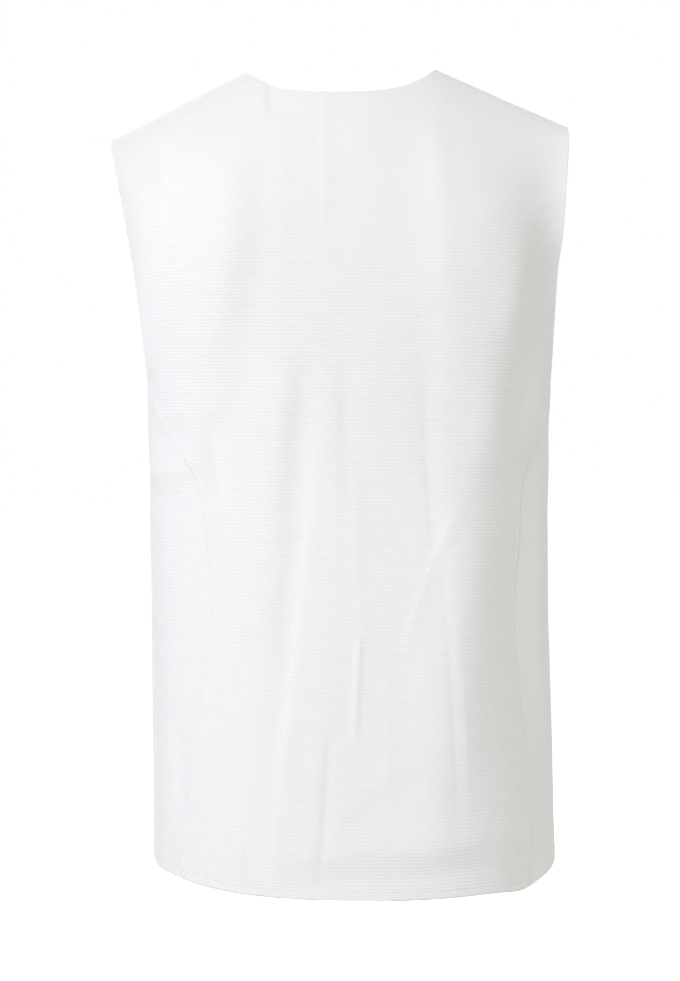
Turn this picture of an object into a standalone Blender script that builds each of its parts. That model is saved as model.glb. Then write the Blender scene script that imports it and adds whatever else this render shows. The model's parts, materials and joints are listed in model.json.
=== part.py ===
"""Sleeveless knit cardigan, filled out as if it were worn, with nobody in it.

Metres, +Z up. The origin is midway between the two neck points, where a wearer's shoulders hold the garment.
The back panel is on +Y, the two fronts face -Y, and the wearer's left is +X.
"""

from collections import namedtuple

import bpy
import numpy as np

# Neck and shoulders
NECK_HALF_WIDTH = 0.0825
NECK_BACK_DROP = 0.024
NECK_FLATNESS = 3.3  # power of the back neck's curve; 2 is round, more is flatter in the middle
NECK_CUT_ROUNDS = 12  # how often the place of the back neck's edge is worked out, each time closer
SHOULDER_HALF_WIDTH = 0.1990
RIGHT_SHOULDER_SHORT = 0.0038  # how much shorter the right shoulder's seam hangs
SHOULDER_DROP = 0.054
SHOULDER_LEAN = 0.005  # how much lower the left shoulder's tip hangs than the right one's

# Armholes
UNDERARM_HEIGHT = -0.272
ARMHOLE_LEFT_REACH = 0.052  # how far the edge stands out behind the line from underarm to tip
ARMHOLE_RIGHT_REACH = 0.038
ARMHOLE_FRONT_REACH = 0.052
ARMHOLE_LEFT_RISE = 1.4  # power that puts the edge's furthest place higher on the back; 1 is half-way up
ARMHOLE_RIGHT_RISE = 1.8
ARMHOLE_FRONT_RISE = 1.0
ARMHOLE_BOW_LEFT = 0.0048  # how far the edge curves in towards the neck half-way up
ARMHOLE_BOW_RIGHT = 0.0015

# Centre front
V_POINT_HEIGHT = -0.215
FRONT_GAP_TOP = 0.004  # between the fronts at the point of the V
FRONT_GAP_HEM = 0.018  # between the fronts at the hem
V_NECK_CURVE = 1.15  # power of the V's edge; 1 is straight

# Cloth
CLOTH = 0.002
SEAM_GAP = 0.0003
SEAM_DRAW_LEFT = 0.004  # how far the left side seam draws the body in
SEAM_DRAW_RIGHT = 0.0125
SEAM_DRAW_SPREAD = 0.24  # angle over which they do so on the fronts
SEAM_DRAW_BACK_SPREAD = 0.38  # and on the back
SEAM_DRAW_TOP = 0.090  # length below the underarms over which the draw begins
WELT_HEIGHT = 0.0078
WELT_CLOTH = 0.0026
WELT_PROUD = 0.0003
HEM_BACK_DROP = 0.020  # how far the middle of the back hangs below the sides
HEM_FRONT_DROP = 0.008
HEM_DIP = 0.0100  # how far the hem dips beside the right seam
HEM_DIP_ANGLE = 1.08  # where it does, from the middle of the back
HEM_DIP_SPREAD = 0.31  # angle over which it does
HEM_CURVE_TOP = -0.450  # above this height the courses run level

# Form
BODY_LEAN = 0.012  # how much higher the left side of the body hangs than the right
ROUNDNESS_LEFT = 0.82  # power of sine and cosine in a section; 1 is an ellipse, less is squarer
ROUNDNESS_RIGHT = 0.90
YOKE_UPRIGHT = 2.5  # how long the cloth stays upright above the underarms
YOKE_TURN = 0.56  # how sharply it then turns over to the shoulders; less is sharper
V_NECK_UPRIGHT = 2.2
V_NECK_TURN = 0.8
MIDDLE_FULLNESS = 0.004  # how far the cloth stands out at the upper middle of the back
BLADE_FULLNESS = 0.015  # how much further over the shoulder blades
BLADE_PLACE_RIGHT = 1.5  # power that puts the right one nearer its armhole; 1 is half-way
CHEST_FULLNESS = 0.020  # how far it stands out over the chest

# How the folds fade
FOLD_END = 1.5  # length past a fold's ends, in its widths
SIDE_FADE = 2.0  # columns from a panel's side edges
TOP_FADE = 3.0  # rows from its top edge
HEM_FADE = 1.5  # rows from its lower edge

# Facets. The neck points lie on the sixth column out from the middle of the back.
BACK_COLUMNS = 28
NECK_COLUMNS = 6
FRONT_COLUMNS = 14
BODY_ROWS = 15
YOKE_ROWS = 13
NECK_SHARE = 2 * NECK_COLUMNS / BACK_COLUMNS

# Colour of the yarn
YARN_COLOUR = (0.86, 0.86, 0.85, 1.0)
YARN_ROUGHNESS = 0.9

# Sections of the body, from the hem up. half_width is to either side of the section's own middle, which hangs
# by shift to the wearer's left. back and front are the depths behind and before the shoulders' plane. seam_left
# and seam_right are the side seams' places on the back half, as shares of half_width.
Section = namedtuple("Section", "height half_width shift back front seam_left seam_right")
SECTIONS = (
    Section(-0.680, 0.1755, 0.0000, 0.111, 0.100, 0.870, 0.908),
    Section(-0.620, 0.1748, -0.0006, 0.113, 0.101, 0.840, 0.940),
    Section(-0.540, 0.1732, -0.0002, 0.111, 0.101, 0.766, 0.886),
    Section(-0.460, 0.1724, 0.0000, 0.103, 0.099, 0.706, 0.862),
    Section(-0.400, 0.1728, -0.0006, 0.094, 0.098, 0.728, 0.896),
    Section(-0.350, 0.1736, -0.0016, 0.088, 0.100, 0.785, 0.914),
    Section(-0.310, 0.1752, -0.0024, 0.087, 0.103, 0.915, 0.978),
    Section(-0.272, 0.1750, -0.0024, 0.089, 0.107, 0.992, 0.994),
)

# The largest folds. Each runs down from (x_top, top) to (x_low, low) and passes x_mid half-way; width is from
# its middle to where it fades, and rise is how far it stands out, or in where it is below 0.
Fold = namedtuple("Fold", "name x_top top x_mid x_low low width rise")
BACK_FOLDS = (
    Fold("blade_ridge", 0.095, -0.075, 0.099, 0.124, -0.250, 0.017, 0.0014),
    Fold("blade_trough", 0.070, -0.100, 0.080, 0.108, -0.332, 0.017, -0.0019),
    Fold("waist_swell", 0.050, -0.272, 0.071, 0.082, -0.460, 0.014, 0.0013),
    Fold("middle_trough", 0.036, -0.270, 0.043, 0.066, -0.560, 0.011, -0.0013),
    Fold("middle_swell", 0.010, -0.330, 0.020, 0.045, -0.640, 0.016, 0.0008),
    Fold("long_trough", -0.066, -0.230, -0.068, -0.084, -0.640, 0.012, -0.0010),
    Fold("long_swell", -0.108, -0.240, -0.102, -0.086, -0.560, 0.022, 0.0020),
    Fold("hip_swell", -0.088, -0.430, -0.076, -0.074, -0.640, 0.034, 0.0042),
)
LEFT_FRONT_FOLDS = (
    Fold("armhole_trough", 0.150, -0.120, 0.142, 0.128, -0.270, 0.019, -0.0018),
    Fold("chest_swell", 0.090, -0.200, 0.082, 0.092, -0.560, 0.020, 0.0017),
    Fold("side_trough", 0.122, -0.330, 0.116, 0.124, -0.600, 0.015, -0.0015),
    Fold("hem_swell", 0.050, -0.430, 0.056, 0.050, -0.660, 0.018, 0.0012),
)
RIGHT_FRONT_FOLDS = (
    Fold("armhole_trough", -0.146, -0.130, -0.136, -0.122, -0.290, 0.018, -0.0016),
    Fold("chest_swell", -0.082, -0.250, -0.090, -0.080, -0.610, 0.019, 0.0018),
    Fold("side_trough", -0.112, -0.310, -0.122, -0.116, -0.640, 0.014, -0.0014),
    Fold("hem_swell", -0.038, -0.470, -0.046, -0.052, -0.670, 0.016, 0.0010),
)


def smooth(share):
    """Eases a share from 0 to 1, level at both ends."""
    share = np.clip(share, 0.0, 1.0)
    return share * share * (3.0 - 2.0 * share)


def blend(start, end, share):
    """Gives what lies between start and end at a share of the way."""
    return start + (end - start) * share


def along(column, height):
    """Reads a column of the sections at a height, on a smooth curve through its rows."""
    heights = np.array([row.height for row in SECTIONS])
    values = np.array([getattr(row, column) for row in SECTIONS])
    slopes = np.gradient(values, heights)
    row = np.clip(np.searchsorted(heights, height) - 1, 0, len(heights) - 2)
    step = heights[row + 1] - heights[row]
    share = np.clip((height - heights[row]) / step, 0.0, 1.0)
    return (
        blend(values[row], values[row + 1], smooth(share))
        + slopes[row] * step * share * (1.0 - share) ** 2
        - slopes[row + 1] * step * share**2 * (1.0 - share)
    )


def rounded(value, power):
    """Raises a sine or cosine to a section's power and keeps its sign."""
    return np.sign(value) * np.abs(value) ** power


def seam_draw(angle, height):
    """How much smaller the body is at an angle, as a share, because the side seams draw it in."""
    draw = 0.0
    for side, depth in ((-1, SEAM_DRAW_RIGHT), (1, SEAM_DRAW_LEFT)):
        off = side * angle - seam_angle(side, height)
        spread = np.where(off < 0.0, SEAM_DRAW_BACK_SPREAD, SEAM_DRAW_SPREAD)
        draw = draw + depth * np.exp(-((off / spread) ** 2))
    return draw * smooth((UNDERARM_HEIGHT - height) / SEAM_DRAW_TOP) / along("half_width", height)


def body_point(angle, height):
    """A point of the body. Angle 0 is the middle of the back, and the left side is a quarter turn on."""
    size = 1.0 - seam_draw(angle, height)
    power = np.where(np.sin(angle) < 0.0, ROUNDNESS_RIGHT, ROUNDNESS_LEFT)
    across = size * rounded(np.sin(angle), power)
    behind = size * rounded(np.cos(angle), power)
    is_back = behind > 0.0
    depth = np.where(is_back, along("back", height), along("front", height))
    near_hem = smooth((HEM_CURVE_TOP - height) / (HEM_CURVE_TOP - SECTIONS[0].height))
    drop = np.where(is_back, HEM_BACK_DROP, HEM_FRONT_DROP) * np.abs(behind)
    drop = drop + HEM_DIP * np.exp(-(((angle + HEM_DIP_ANGLE) / HEM_DIP_SPREAD) ** 2))
    return np.stack(
        [
            along("shift", height) + along("half_width", height) * across,
            depth * behind,
            height - drop * near_hem + 0.5 * BODY_LEAN * across,
        ],
        axis=-1,
    )


def seam_angle(side, height):
    """The angle of the left (side 1) or right (side -1) side seam at a height."""
    if side > 0:
        return np.arcsin(along("seam_left", height) ** (1.0 / ROUNDNESS_LEFT))
    return np.arcsin(along("seam_right", height) ** (1.0 / ROUNDNESS_RIGHT))


def seam_clearance(height):
    """The angle that keeps half of a side seam's gap."""
    return 0.5 * SEAM_GAP / along("back", height)


def shoulder_point(side, share):
    """A point of a shoulder's line, from the neck point (share 0) to the tip (share 1)."""
    tip = np.where(side > 0.0, SHOULDER_HALF_WIDTH, SHOULDER_HALF_WIDTH - RIGHT_SHOULDER_SHORT)
    x = side * blend(NECK_HALF_WIDTH, tip, share)
    z = -(SHOULDER_DROP + 0.5 * side * SHOULDER_LEAN) * share
    return np.stack([x, np.zeros_like(x), z], axis=-1)


def back_top(column):
    """The line that the back rounds over to: the shoulders, and between them an arch over the neck.

    column runs from -1 at the right shoulder's tip to 1 at the left one's.
    """
    side = np.where(column < 0.0, -1.0, 1.0)
    top = shoulder_point(side, np.clip((np.abs(column) - NECK_SHARE) / (1.0 - NECK_SHARE), 0.0, 1.0))
    across = np.clip(column / NECK_SHARE, -1.0, 1.0)
    slope = SHOULDER_DROP / (SHOULDER_HALF_WIDTH - NECK_HALF_WIDTH)
    top[..., 0] += NECK_HALF_WIDTH * (across - side)
    top[..., 1] += 0.5 * SEAM_GAP
    top[..., 2] += 0.5 * NECK_HALF_WIDTH * slope * (1.0 - across**2)
    return top


def sideways(share, at_armhole):
    """The share of the way across from the underarms to the top line; straighter at the armholes."""
    return blend(smooth(share), share, at_armhole)


def neck_cut(column, bottom, top):
    """The share of the way up to the top line at which each column of the back ends."""
    cut = np.ones(column.shape[1])
    for _ in range(NECK_CUT_ROUNDS):
        x = blend(bottom[:, 0], top[:, 0], sideways(cut, column[0] ** 2))
        across = np.clip(np.abs(x) / NECK_HALF_WIDTH, 0.0, 1.0)
        edge = -NECK_BACK_DROP * (1.0 - across**NECK_FLATNESS)
        cut = np.clip((edge - bottom[:, 2]) / (top[:, 2] - bottom[:, 2]), 0.0, 1.0)
        cut = np.where(np.abs(column[0]) < NECK_SHARE, cut, 1.0)
    return cut


def yoke(bottom, top, share, fullness, at_armhole):
    """Rounds the cloth from the underarms' level (share 0) over to the shoulder or neck (share 1)."""
    point = blend(bottom, top, share[..., None])
    point[..., 0] = blend(bottom[..., 0], top[..., 0], sideways(share, at_armhole))
    over = (1.0 - share**YOKE_UPRIGHT) ** YOKE_TURN
    point[..., 1] = blend(top[..., 1], bottom[..., 1], over) + fullness * np.sin(np.pi * share) ** 1.5
    return point


def armhole_edge(bottom, top, share, reach, lift):
    """An armhole's edge, from the side seam (share 0) to the shoulder's tip (share 1).

    reach is how far it stands out behind the shoulders' plane, and a lift over 1 puts that place higher up.
    """
    rise = 0.5 * (1.0 - np.cos(np.pi * share))
    edge = blend(bottom, top, rise[..., None])
    bow = np.where(edge[..., 0] > 0.0, ARMHOLE_BOW_LEFT, ARMHOLE_BOW_RIGHT)
    edge[..., 0] -= np.sign(edge[..., 0]) * bow * np.sin(np.pi * rise)
    edge[..., 1] += reach * np.sin(np.pi * share**lift)
    return edge


def v_neck_edge(side, bottom, top, share):
    """A front's inner edge, from the underarms' level (share 0) up the V to the neck point (share 1)."""
    edge = blend(bottom, top, share[..., None])
    up = np.clip(1.0 - edge[..., 2] / V_POINT_HEIGHT, 0.0, 1.0)
    half_gap = 0.5 * FRONT_GAP_TOP
    shift = bottom[..., 0] - side * half_gap
    edge[..., 0] = side * blend(half_gap, NECK_HALF_WIDTH, up**V_NECK_CURVE) + shift * (1.0 - share)
    edge[..., 1] = blend(top[..., 1], bottom[..., 1], (1.0 - share**V_NECK_UPRIGHT) ** V_NECK_TURN)
    return edge


def fold_lift(folds, points):
    """How far the folds lift the cloth out at each point, fading towards the seams and the welt."""
    x, height = points[..., 0], points[..., 2]
    lift = np.zeros_like(x)
    for fold in folds:
        share = np.clip((fold.top - height) / (fold.top - fold.low), 0.0, 1.0)
        bend = 2.0 * fold.x_mid - 0.5 * (fold.x_top + fold.x_low)
        path = (1 - share) ** 2 * fold.x_top + 2 * share * (1 - share) * bend + share**2 * fold.x_low
        beyond = np.maximum(height - fold.top, 0.0) + np.maximum(fold.low - height, 0.0)
        ends = np.exp(-((beyond / (FOLD_END * fold.width)) ** 2))
        lift += fold.rise * ends * np.exp(-(((x - path) / fold.width) ** 2))
    rows, columns = lift.shape
    row = np.arange(rows)[:, None]
    column = np.arange(columns)[None, :]
    from_side = np.minimum(column, columns - 1 - column)
    lift *= smooth(from_side / SIDE_FADE)
    return lift * smooth((rows - 1 - row) / TOP_FADE) * smooth(row / HEM_FADE)


def normals(points, facing):
    """Unit normals of a grid of points that face back (facing 1) or front (facing -1)."""
    upward = np.gradient(points, axis=0, edge_order=min(2, points.shape[0] - 1))
    normal = np.cross(np.gradient(points, axis=1, edge_order=2), upward)
    normal /= np.linalg.norm(normal, axis=-1, keepdims=True)
    middle = normal[normal.shape[0] // 3, normal.shape[1] // 2]
    return normal * np.sign(middle[1] * facing)


def back_body(column, height):
    """Rows of the back below the underarms; column is -1 at the right side seam and 1 at the left one."""
    right = seam_clearance(height) - seam_angle(-1, height)
    left = seam_angle(1, height) - seam_clearance(height)
    return body_point(blend(right, left, 0.5 * (column + 1.0)), height + 0.0 * column)


def front_body(side, column, height):
    """Rows of a front below the underarms; column runs from 0 at the side seam to 1 at the centre edge."""
    seam = seam_angle(side, height) + seam_clearance(height)
    body = body_point(side * blend(seam, np.pi, column), height + 0.0 * column)
    down = smooth((UNDERARM_HEIGHT - height) / (UNDERARM_HEIGHT - SECTIONS[0].height))
    body[..., 0] += side * 0.5 * blend(FRONT_GAP_TOP, FRONT_GAP_HEM, down) * column**2
    return body


def back_points(column, height):
    """The outer face of the back: its body rows, then the yoke's rows up to the shoulders and neck."""
    body = back_body(column, height)
    share = np.linspace(0.0, 1.0, YOKE_ROWS + 1)[1:, None] * neck_cut(column, body[-1], back_top(column)[0])
    bottom = body[-1:] + np.zeros((YOKE_ROWS, 1, 1))
    top = back_top(column)[0] + np.zeros((YOKE_ROWS, 1, 1))
    blade = np.where(column < 0.0, np.abs(column) ** BLADE_PLACE_RIGHT, column)
    fullness = MIDDLE_FULLNESS + BLADE_FULLNESS * np.sin(np.pi * blade) ** 2
    upper = yoke(bottom, top, share, fullness, column**2)
    for side, edge, reach, rise in (
        (-1, 0, ARMHOLE_RIGHT_REACH, ARMHOLE_RIGHT_RISE),
        (1, -1, ARMHOLE_LEFT_REACH, ARMHOLE_LEFT_RISE),
    ):
        wanted = armhole_edge(bottom[:, edge], top[:, edge], share[:, 0], reach, rise)
        pull = np.clip(side * column, 0.0, 1.0) ** 4
        upper = upper + (wanted - upper[:, edge])[:, None] * pull[..., None]
    return np.concatenate([body, upper])


def front_points(side, column, height):
    """The outer face of a front: its body rows, then the yoke's rows up to the shoulder."""
    body = front_body(side, column, height)
    share = np.linspace(0.0, 1.0, YOKE_ROWS + 1)[1:, None]
    bottom = body[-1:] + np.zeros((YOKE_ROWS, 1, 1))
    top = shoulder_point(side, 1.0 - column)[0] + np.zeros((YOKE_ROWS, 1, 1))
    top[..., 1] -= 0.5 * SEAM_GAP
    fullness = -CHEST_FULLNESS * np.sin(0.25 * np.pi * (1.0 + 3.0 * column))
    upper = yoke(bottom, top, share + 0.0 * column, fullness, (1.0 - column) ** 2)
    armhole = armhole_edge(bottom[:, 0], top[:, 0], share[:, 0], -ARMHOLE_FRONT_REACH, ARMHOLE_FRONT_RISE)
    upper = upper + (armhole - upper[:, 0])[:, None] * ((1.0 - column) ** 3)[..., None]
    v_neck = v_neck_edge(side, bottom[:, -1], top[:, -1], share[:, 0])
    upper = upper + (v_neck - upper[:, -1])[:, None] * (column**3)[..., None]
    return np.concatenate([body, upper])


def wall(outer, inner):
    """The vertices and faces of a wall between two grids of points, closed by a rim."""
    rows, columns = outer.shape[:2]
    count = rows * columns
    faces = []
    for row in range(rows - 1):
        for column in range(columns - 1):
            a = row * columns + column
            quad = (a, a + 1, a + 1 + columns, a + columns)
            faces.append(quad)
            faces.append(tuple(count + corner for corner in reversed(quad)))
    rim = list(range(columns))
    rim += [row * columns + columns - 1 for row in range(1, rows)]
    rim += [(rows - 1) * columns + column for column in reversed(range(columns - 1))]
    rim += [row * columns for row in reversed(range(1, rows - 1))]
    for here, there in zip(rim, rim[1:] + rim[:1]):
        faces.append((there, here, count + here, count + there))
    return np.concatenate([outer.reshape(-1, 3), inner.reshape(-1, 3)]), faces


def yarn(name):
    """The white yarn's material."""
    material = bpy.data.materials.new(name)
    material.use_nodes = True
    shader = material.node_tree.nodes["Principled BSDF"]
    shader.inputs["Base Color"].default_value = YARN_COLOUR
    shader.inputs["Roughness"].default_value = YARN_ROUGHNESS
    shader.inputs["Metallic"].default_value = 0.0
    return material


def add_piece(name, outer, inner, parent):
    """Makes one piece of cloth as a closed object of its own, from its outer and inner faces."""
    first_normal = np.cross(outer[0, 1] - outer[0, 0], outer[1, 0] - outer[0, 0])
    if np.dot(first_normal, outer[0, 0] - inner[0, 0]) < 0.0:
        outer, inner = outer[:, ::-1], inner[:, ::-1]
    vertices, faces = wall(outer, inner)
    mesh = bpy.data.meshes.new(name)
    mesh.from_pydata(vertices.tolist(), [], faces)
    mesh.shade_smooth()
    mesh.set_sharp_from_angle(angle=np.radians(60.0))
    mesh.materials.append(yarn(name + "_yarn"))
    piece = bpy.data.objects.new(name, mesh)
    piece.parent = parent
    bpy.context.scene.collection.objects.link(piece)


def add_panel(name, points, folds, facing, is_shoulder, parent):
    """Makes a panel from its outer face: folds it, and gives it the cloth's thickness towards the body."""
    outer = points + normals(points, facing) * fold_lift(folds, points)[..., None]
    inward = -normals(outer, facing)
    inward[-1, is_shoulder, 1] = 0.0
    inward[-1] /= np.linalg.norm(inward[-1], axis=-1, keepdims=True)
    add_piece(name, outer, outer + CLOTH * inward, parent)


def add_welt(name, points, facing, parent):
    """Makes a strip of hem welt below its panel, from points moved out by a little."""
    outward = normals(points, facing)
    outer = points + WELT_PROUD * outward
    add_piece(name, outer, outer - WELT_CLOTH * outward, parent)


def clear_scene():
    """Removes what the scene holds."""
    for thing in list(bpy.data.objects):
        bpy.data.objects.remove(thing, do_unlink=True)


def main():
    """Builds every piece of the garment."""
    clear_scene()
    garment = bpy.data.objects.new("garment", None)
    bpy.context.scene.collection.objects.link(garment)

    hem = SECTIONS[0].height
    panel_height = np.linspace(hem + WELT_HEIGHT + SEAM_GAP, UNDERARM_HEIGHT, BODY_ROWS + 1)[:, None]
    welt_height = np.array([hem, hem + WELT_HEIGHT])[:, None]

    column = np.linspace(-1.0, 1.0, BACK_COLUMNS + 1)[None, :]
    on_shoulder = np.abs(column[0]) > NECK_SHARE - 0.5 / BACK_COLUMNS
    add_panel("back", back_points(column, panel_height), BACK_FOLDS, 1, on_shoulder, garment)
    add_welt("back_hem_welt", back_body(column, welt_height), 1, garment)

    column = np.linspace(0.0, 1.0, FRONT_COLUMNS + 1)[None, :]
    on_shoulder = column[0] >= 0.0
    for side, name, folds in ((1, "left_front", LEFT_FRONT_FOLDS), (-1, "right_front", RIGHT_FRONT_FOLDS)):
        add_panel(name, front_points(side, column, panel_height), folds, -1, on_shoulder, garment)
        add_welt(name + "_hem_welt", front_body(side, column, welt_height), -1, garment)


if __name__ == "__main__":
    main()
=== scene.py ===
"""Sleeveless knit cardigan: the looks of its cloth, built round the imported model.

Metres, +Z up. The back faces +Y, the fronts face -Y, and the wearer's left is +X. The form repeats the
model's own sizes on a finer grid. The finer creases, the stitches, the seams and the edges are made here.
"""

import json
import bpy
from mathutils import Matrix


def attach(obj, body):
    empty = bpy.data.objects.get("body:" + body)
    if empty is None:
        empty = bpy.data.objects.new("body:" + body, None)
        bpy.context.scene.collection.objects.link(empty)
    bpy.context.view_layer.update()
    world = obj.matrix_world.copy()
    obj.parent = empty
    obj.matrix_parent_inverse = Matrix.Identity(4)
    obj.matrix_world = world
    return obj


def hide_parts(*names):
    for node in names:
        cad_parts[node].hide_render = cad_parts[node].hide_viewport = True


bl_info = {
    "name": "Sleeveless knit cardigan",
    "version": (1, 0, 0),
    "blender": (4, 5, 0),
    "location": "3D View > Sidebar > Knitwear",
    "description": "Builds a filled-out sleeveless cardigan in white double knit, with its studio",
    "category": "Object",
}

from collections import namedtuple

import bpy
import numpy as np
from bpy.props import FloatProperty, FloatVectorProperty, PointerProperty
from mathutils import Matrix, Vector

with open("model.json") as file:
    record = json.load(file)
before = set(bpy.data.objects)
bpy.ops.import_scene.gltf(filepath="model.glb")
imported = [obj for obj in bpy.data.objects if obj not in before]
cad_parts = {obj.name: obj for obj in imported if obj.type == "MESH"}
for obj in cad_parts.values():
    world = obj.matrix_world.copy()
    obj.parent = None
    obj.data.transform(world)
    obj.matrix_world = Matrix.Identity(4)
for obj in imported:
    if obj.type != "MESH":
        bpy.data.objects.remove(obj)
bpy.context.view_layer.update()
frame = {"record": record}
YARN = frame["record"]["materials"][0]["base_color"]

# Neck and shoulders
NECK_HALF_WIDTH = 0.0825
NECK_BACK_DROP = 0.024
NECK_FLATNESS = 3.3  # power of the back neck's curve; 2 is round, more is flatter in the middle
NECK_CUT_ROUNDS = 12  # how often the place of the back neck's edge is worked out, each time closer
SHOULDER_HALF_WIDTH = 0.1990
RIGHT_SHOULDER_SHORT = 0.0038  # how much shorter the right shoulder's seam hangs
SHOULDER_DROP = 0.054
SHOULDER_LEAN = 0.005  # how much lower the left shoulder's tip hangs than the right one's

# Armholes
UNDERARM_HEIGHT = -0.272
ARMHOLE_LEFT_REACH = 0.052  # how far the edge stands out behind the line from underarm to tip
ARMHOLE_RIGHT_REACH = 0.038
ARMHOLE_FRONT_REACH = 0.052
ARMHOLE_LEFT_RISE = 1.4  # power that puts the edge's furthest place higher on the back; 1 is half-way up
ARMHOLE_RIGHT_RISE = 1.8
ARMHOLE_FRONT_RISE = 1.0
ARMHOLE_BOW_LEFT = 0.0048  # how far the edge curves in towards the neck half-way up
ARMHOLE_BOW_RIGHT = 0.0015
BACK_ARMHOLE_PULL = 4  # powers; a higher one bends a narrower strip along the edge
FRONT_ARMHOLE_PULL = 3

# Centre front
V_POINT_HEIGHT = -0.215
FRONT_GAP_TOP = 0.004  # between the fronts at the point of the V
FRONT_GAP_HEM = 0.018  # between the fronts at the hem
V_NECK_CURVE = 1.15  # power of the V's edge; 1 is straight
V_NECK_PULL = 3

# Seams and hem
SEAM_GAP = 0.0003
SEAM_DRAW_LEFT = 0.004  # how far the left side seam draws the body in
SEAM_DRAW_RIGHT = 0.0125
SEAM_DRAW_SPREAD = 0.24  # angle over which they do so on the fronts
SEAM_DRAW_BACK_SPREAD = 0.38  # and on the back
SEAM_DRAW_TOP = 0.090  # length below the underarms over which the draw begins
WELT_HEIGHT = 0.0078
HEM_BACK_DROP = 0.020  # how far the middle of the back hangs below the sides
HEM_FRONT_DROP = 0.008
HEM_CURVE_TOP = -0.450  # above this height the courses run level
HEM_DIP = 0.0100  # how far the hem dips beside the right seam
HEM_DIP_ANGLE = 1.08  # where it does, from the middle of the back
HEM_DIP_SPREAD = 0.31  # angle over which it does

# Form
BODY_LEAN = 0.012  # how much higher the left side of the body hangs than the right
ROUNDNESS_LEFT = 0.82  # power of sine and cosine in a section; 1 is an ellipse, less is squarer
ROUNDNESS_RIGHT = 0.90
YOKE_UPRIGHT = 2.5  # how long the cloth stays upright above the underarms
YOKE_TURN = 0.56  # how sharply it then turns over to the shoulders; less is sharper
V_NECK_UPRIGHT = 2.2
V_NECK_TURN = 0.8
MIDDLE_FULLNESS = 0.004  # how far the cloth stands out at the upper middle of the back
BLADE_FULLNESS = 0.015  # how much further over the shoulder blades
BLADE_PLACE_RIGHT = 1.5  # power that puts the right one nearer its armhole; 1 is half-way
CHEST_FULLNESS = 0.020  # how far it stands out over the chest
FULLNESS_POWER = 1.5  # power of its rise and fall over the height of the yoke

# How the large folds fade
FOLD_END = 1.5  # length past a fold's ends, in its widths
SIDE_FADE = 2.0  # columns from a panel's side edges
TOP_FADE = 3.0  # rows from its top edge
HEM_FADE = 1.5  # rows from its lower edge

# The model's own facets, and how many fine rows and columns stand for one of them here
BACK_COLUMNS = 28
NECK_COLUMNS = 6
FRONT_COLUMNS = 14
BODY_ROWS = 15
YOKE_ROWS = 13
FINE_COLUMNS = 8
FINE_BODY_ROWS = 8
FINE_YOKE_ROWS = 6
WELT_FINE_ROWS = 8
NECK_SHARE = 2 * NECK_COLUMNS / BACK_COLUMNS  # share of the back's columns that end at the neck

# Where and how finely the cloth is measured round the body
EVEN_HEIGHT = -0.45
EVEN_STEPS = 4000
GIRTH_LEVELS = 24
GIRTH_STEPS = 400

# Sections of the body, from the hem up. half_width is to either side of the section's own middle, which
# hangs by shift to the wearer's left. back and front are the depths behind and before the shoulders' plane.
# seam_left and seam_right are the side seams' places on the back half, as shares of half_width.
Section = namedtuple("Section", "height half_width shift back front seam_left seam_right")
SECTIONS = (
    Section(-0.680, 0.1755, 0.0000, 0.111, 0.100, 0.870, 0.908),
    Section(-0.620, 0.1748, -0.0006, 0.113, 0.101, 0.840, 0.940),
    Section(-0.540, 0.1732, -0.0002, 0.111, 0.101, 0.766, 0.886),
    Section(-0.460, 0.1724, 0.0000, 0.103, 0.099, 0.706, 0.862),
    Section(-0.400, 0.1728, -0.0006, 0.094, 0.098, 0.728, 0.896),
    Section(-0.350, 0.1736, -0.0016, 0.088, 0.100, 0.785, 0.914),
    Section(-0.310, 0.1752, -0.0024, 0.087, 0.103, 0.915, 0.978),
    Section(-0.272, 0.1750, -0.0024, 0.089, 0.107, 0.992, 0.994),
)

# The largest folds, as the model has them. Each runs down from (x_top, top) to (x_low, low) and passes
# x_mid half-way; width is from its middle to where it fades, and rise is how far it stands out, or in where
# it is below 0.
Fold = namedtuple("Fold", "name x_top top x_mid x_low low width rise")
BACK_FOLDS = (
    Fold("blade_ridge", 0.095, -0.075, 0.099, 0.124, -0.250, 0.017, 0.0014),
    Fold("blade_trough", 0.070, -0.100, 0.080, 0.108, -0.332, 0.017, -0.0019),
    Fold("waist_swell", 0.050, -0.272, 0.071, 0.082, -0.460, 0.014, 0.0013),
    Fold("middle_trough", 0.036, -0.270, 0.043, 0.066, -0.560, 0.011, -0.0013),
    Fold("middle_swell", 0.010, -0.330, 0.020, 0.045, -0.640, 0.016, 0.0008),
    Fold("long_trough", -0.066, -0.230, -0.068, -0.084, -0.640, 0.012, -0.0010),
    Fold("long_swell", -0.108, -0.240, -0.102, -0.086, -0.560, 0.022, 0.0020),
    Fold("hip_swell", -0.088, -0.430, -0.076, -0.074, -0.640, 0.034, 0.0042),
)
LEFT_FRONT_FOLDS = (
    Fold("armhole_trough", 0.150, -0.120, 0.142, 0.128, -0.270, 0.019, -0.0018),
    Fold("chest_swell", 0.090, -0.200, 0.082, 0.092, -0.560, 0.020, 0.0017),
    Fold("side_trough", 0.122, -0.330, 0.116, 0.124, -0.600, 0.015, -0.0015),
    Fold("hem_swell", 0.050, -0.430, 0.056, 0.050, -0.660, 0.018, 0.0012),
)
RIGHT_FRONT_FOLDS = (
    Fold("armhole_trough", -0.146, -0.130, -0.136, -0.122, -0.290, 0.018, -0.0016),
    Fold("chest_swell", -0.082, -0.250, -0.090, -0.080, -0.610, 0.019, 0.0018),
    Fold("side_trough", -0.112, -0.310, -0.122, -0.116, -0.640, 0.014, -0.0014),
    Fold("hem_swell", -0.038, -0.470, -0.046, -0.052, -0.670, 0.016, 0.0010),
)

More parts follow.
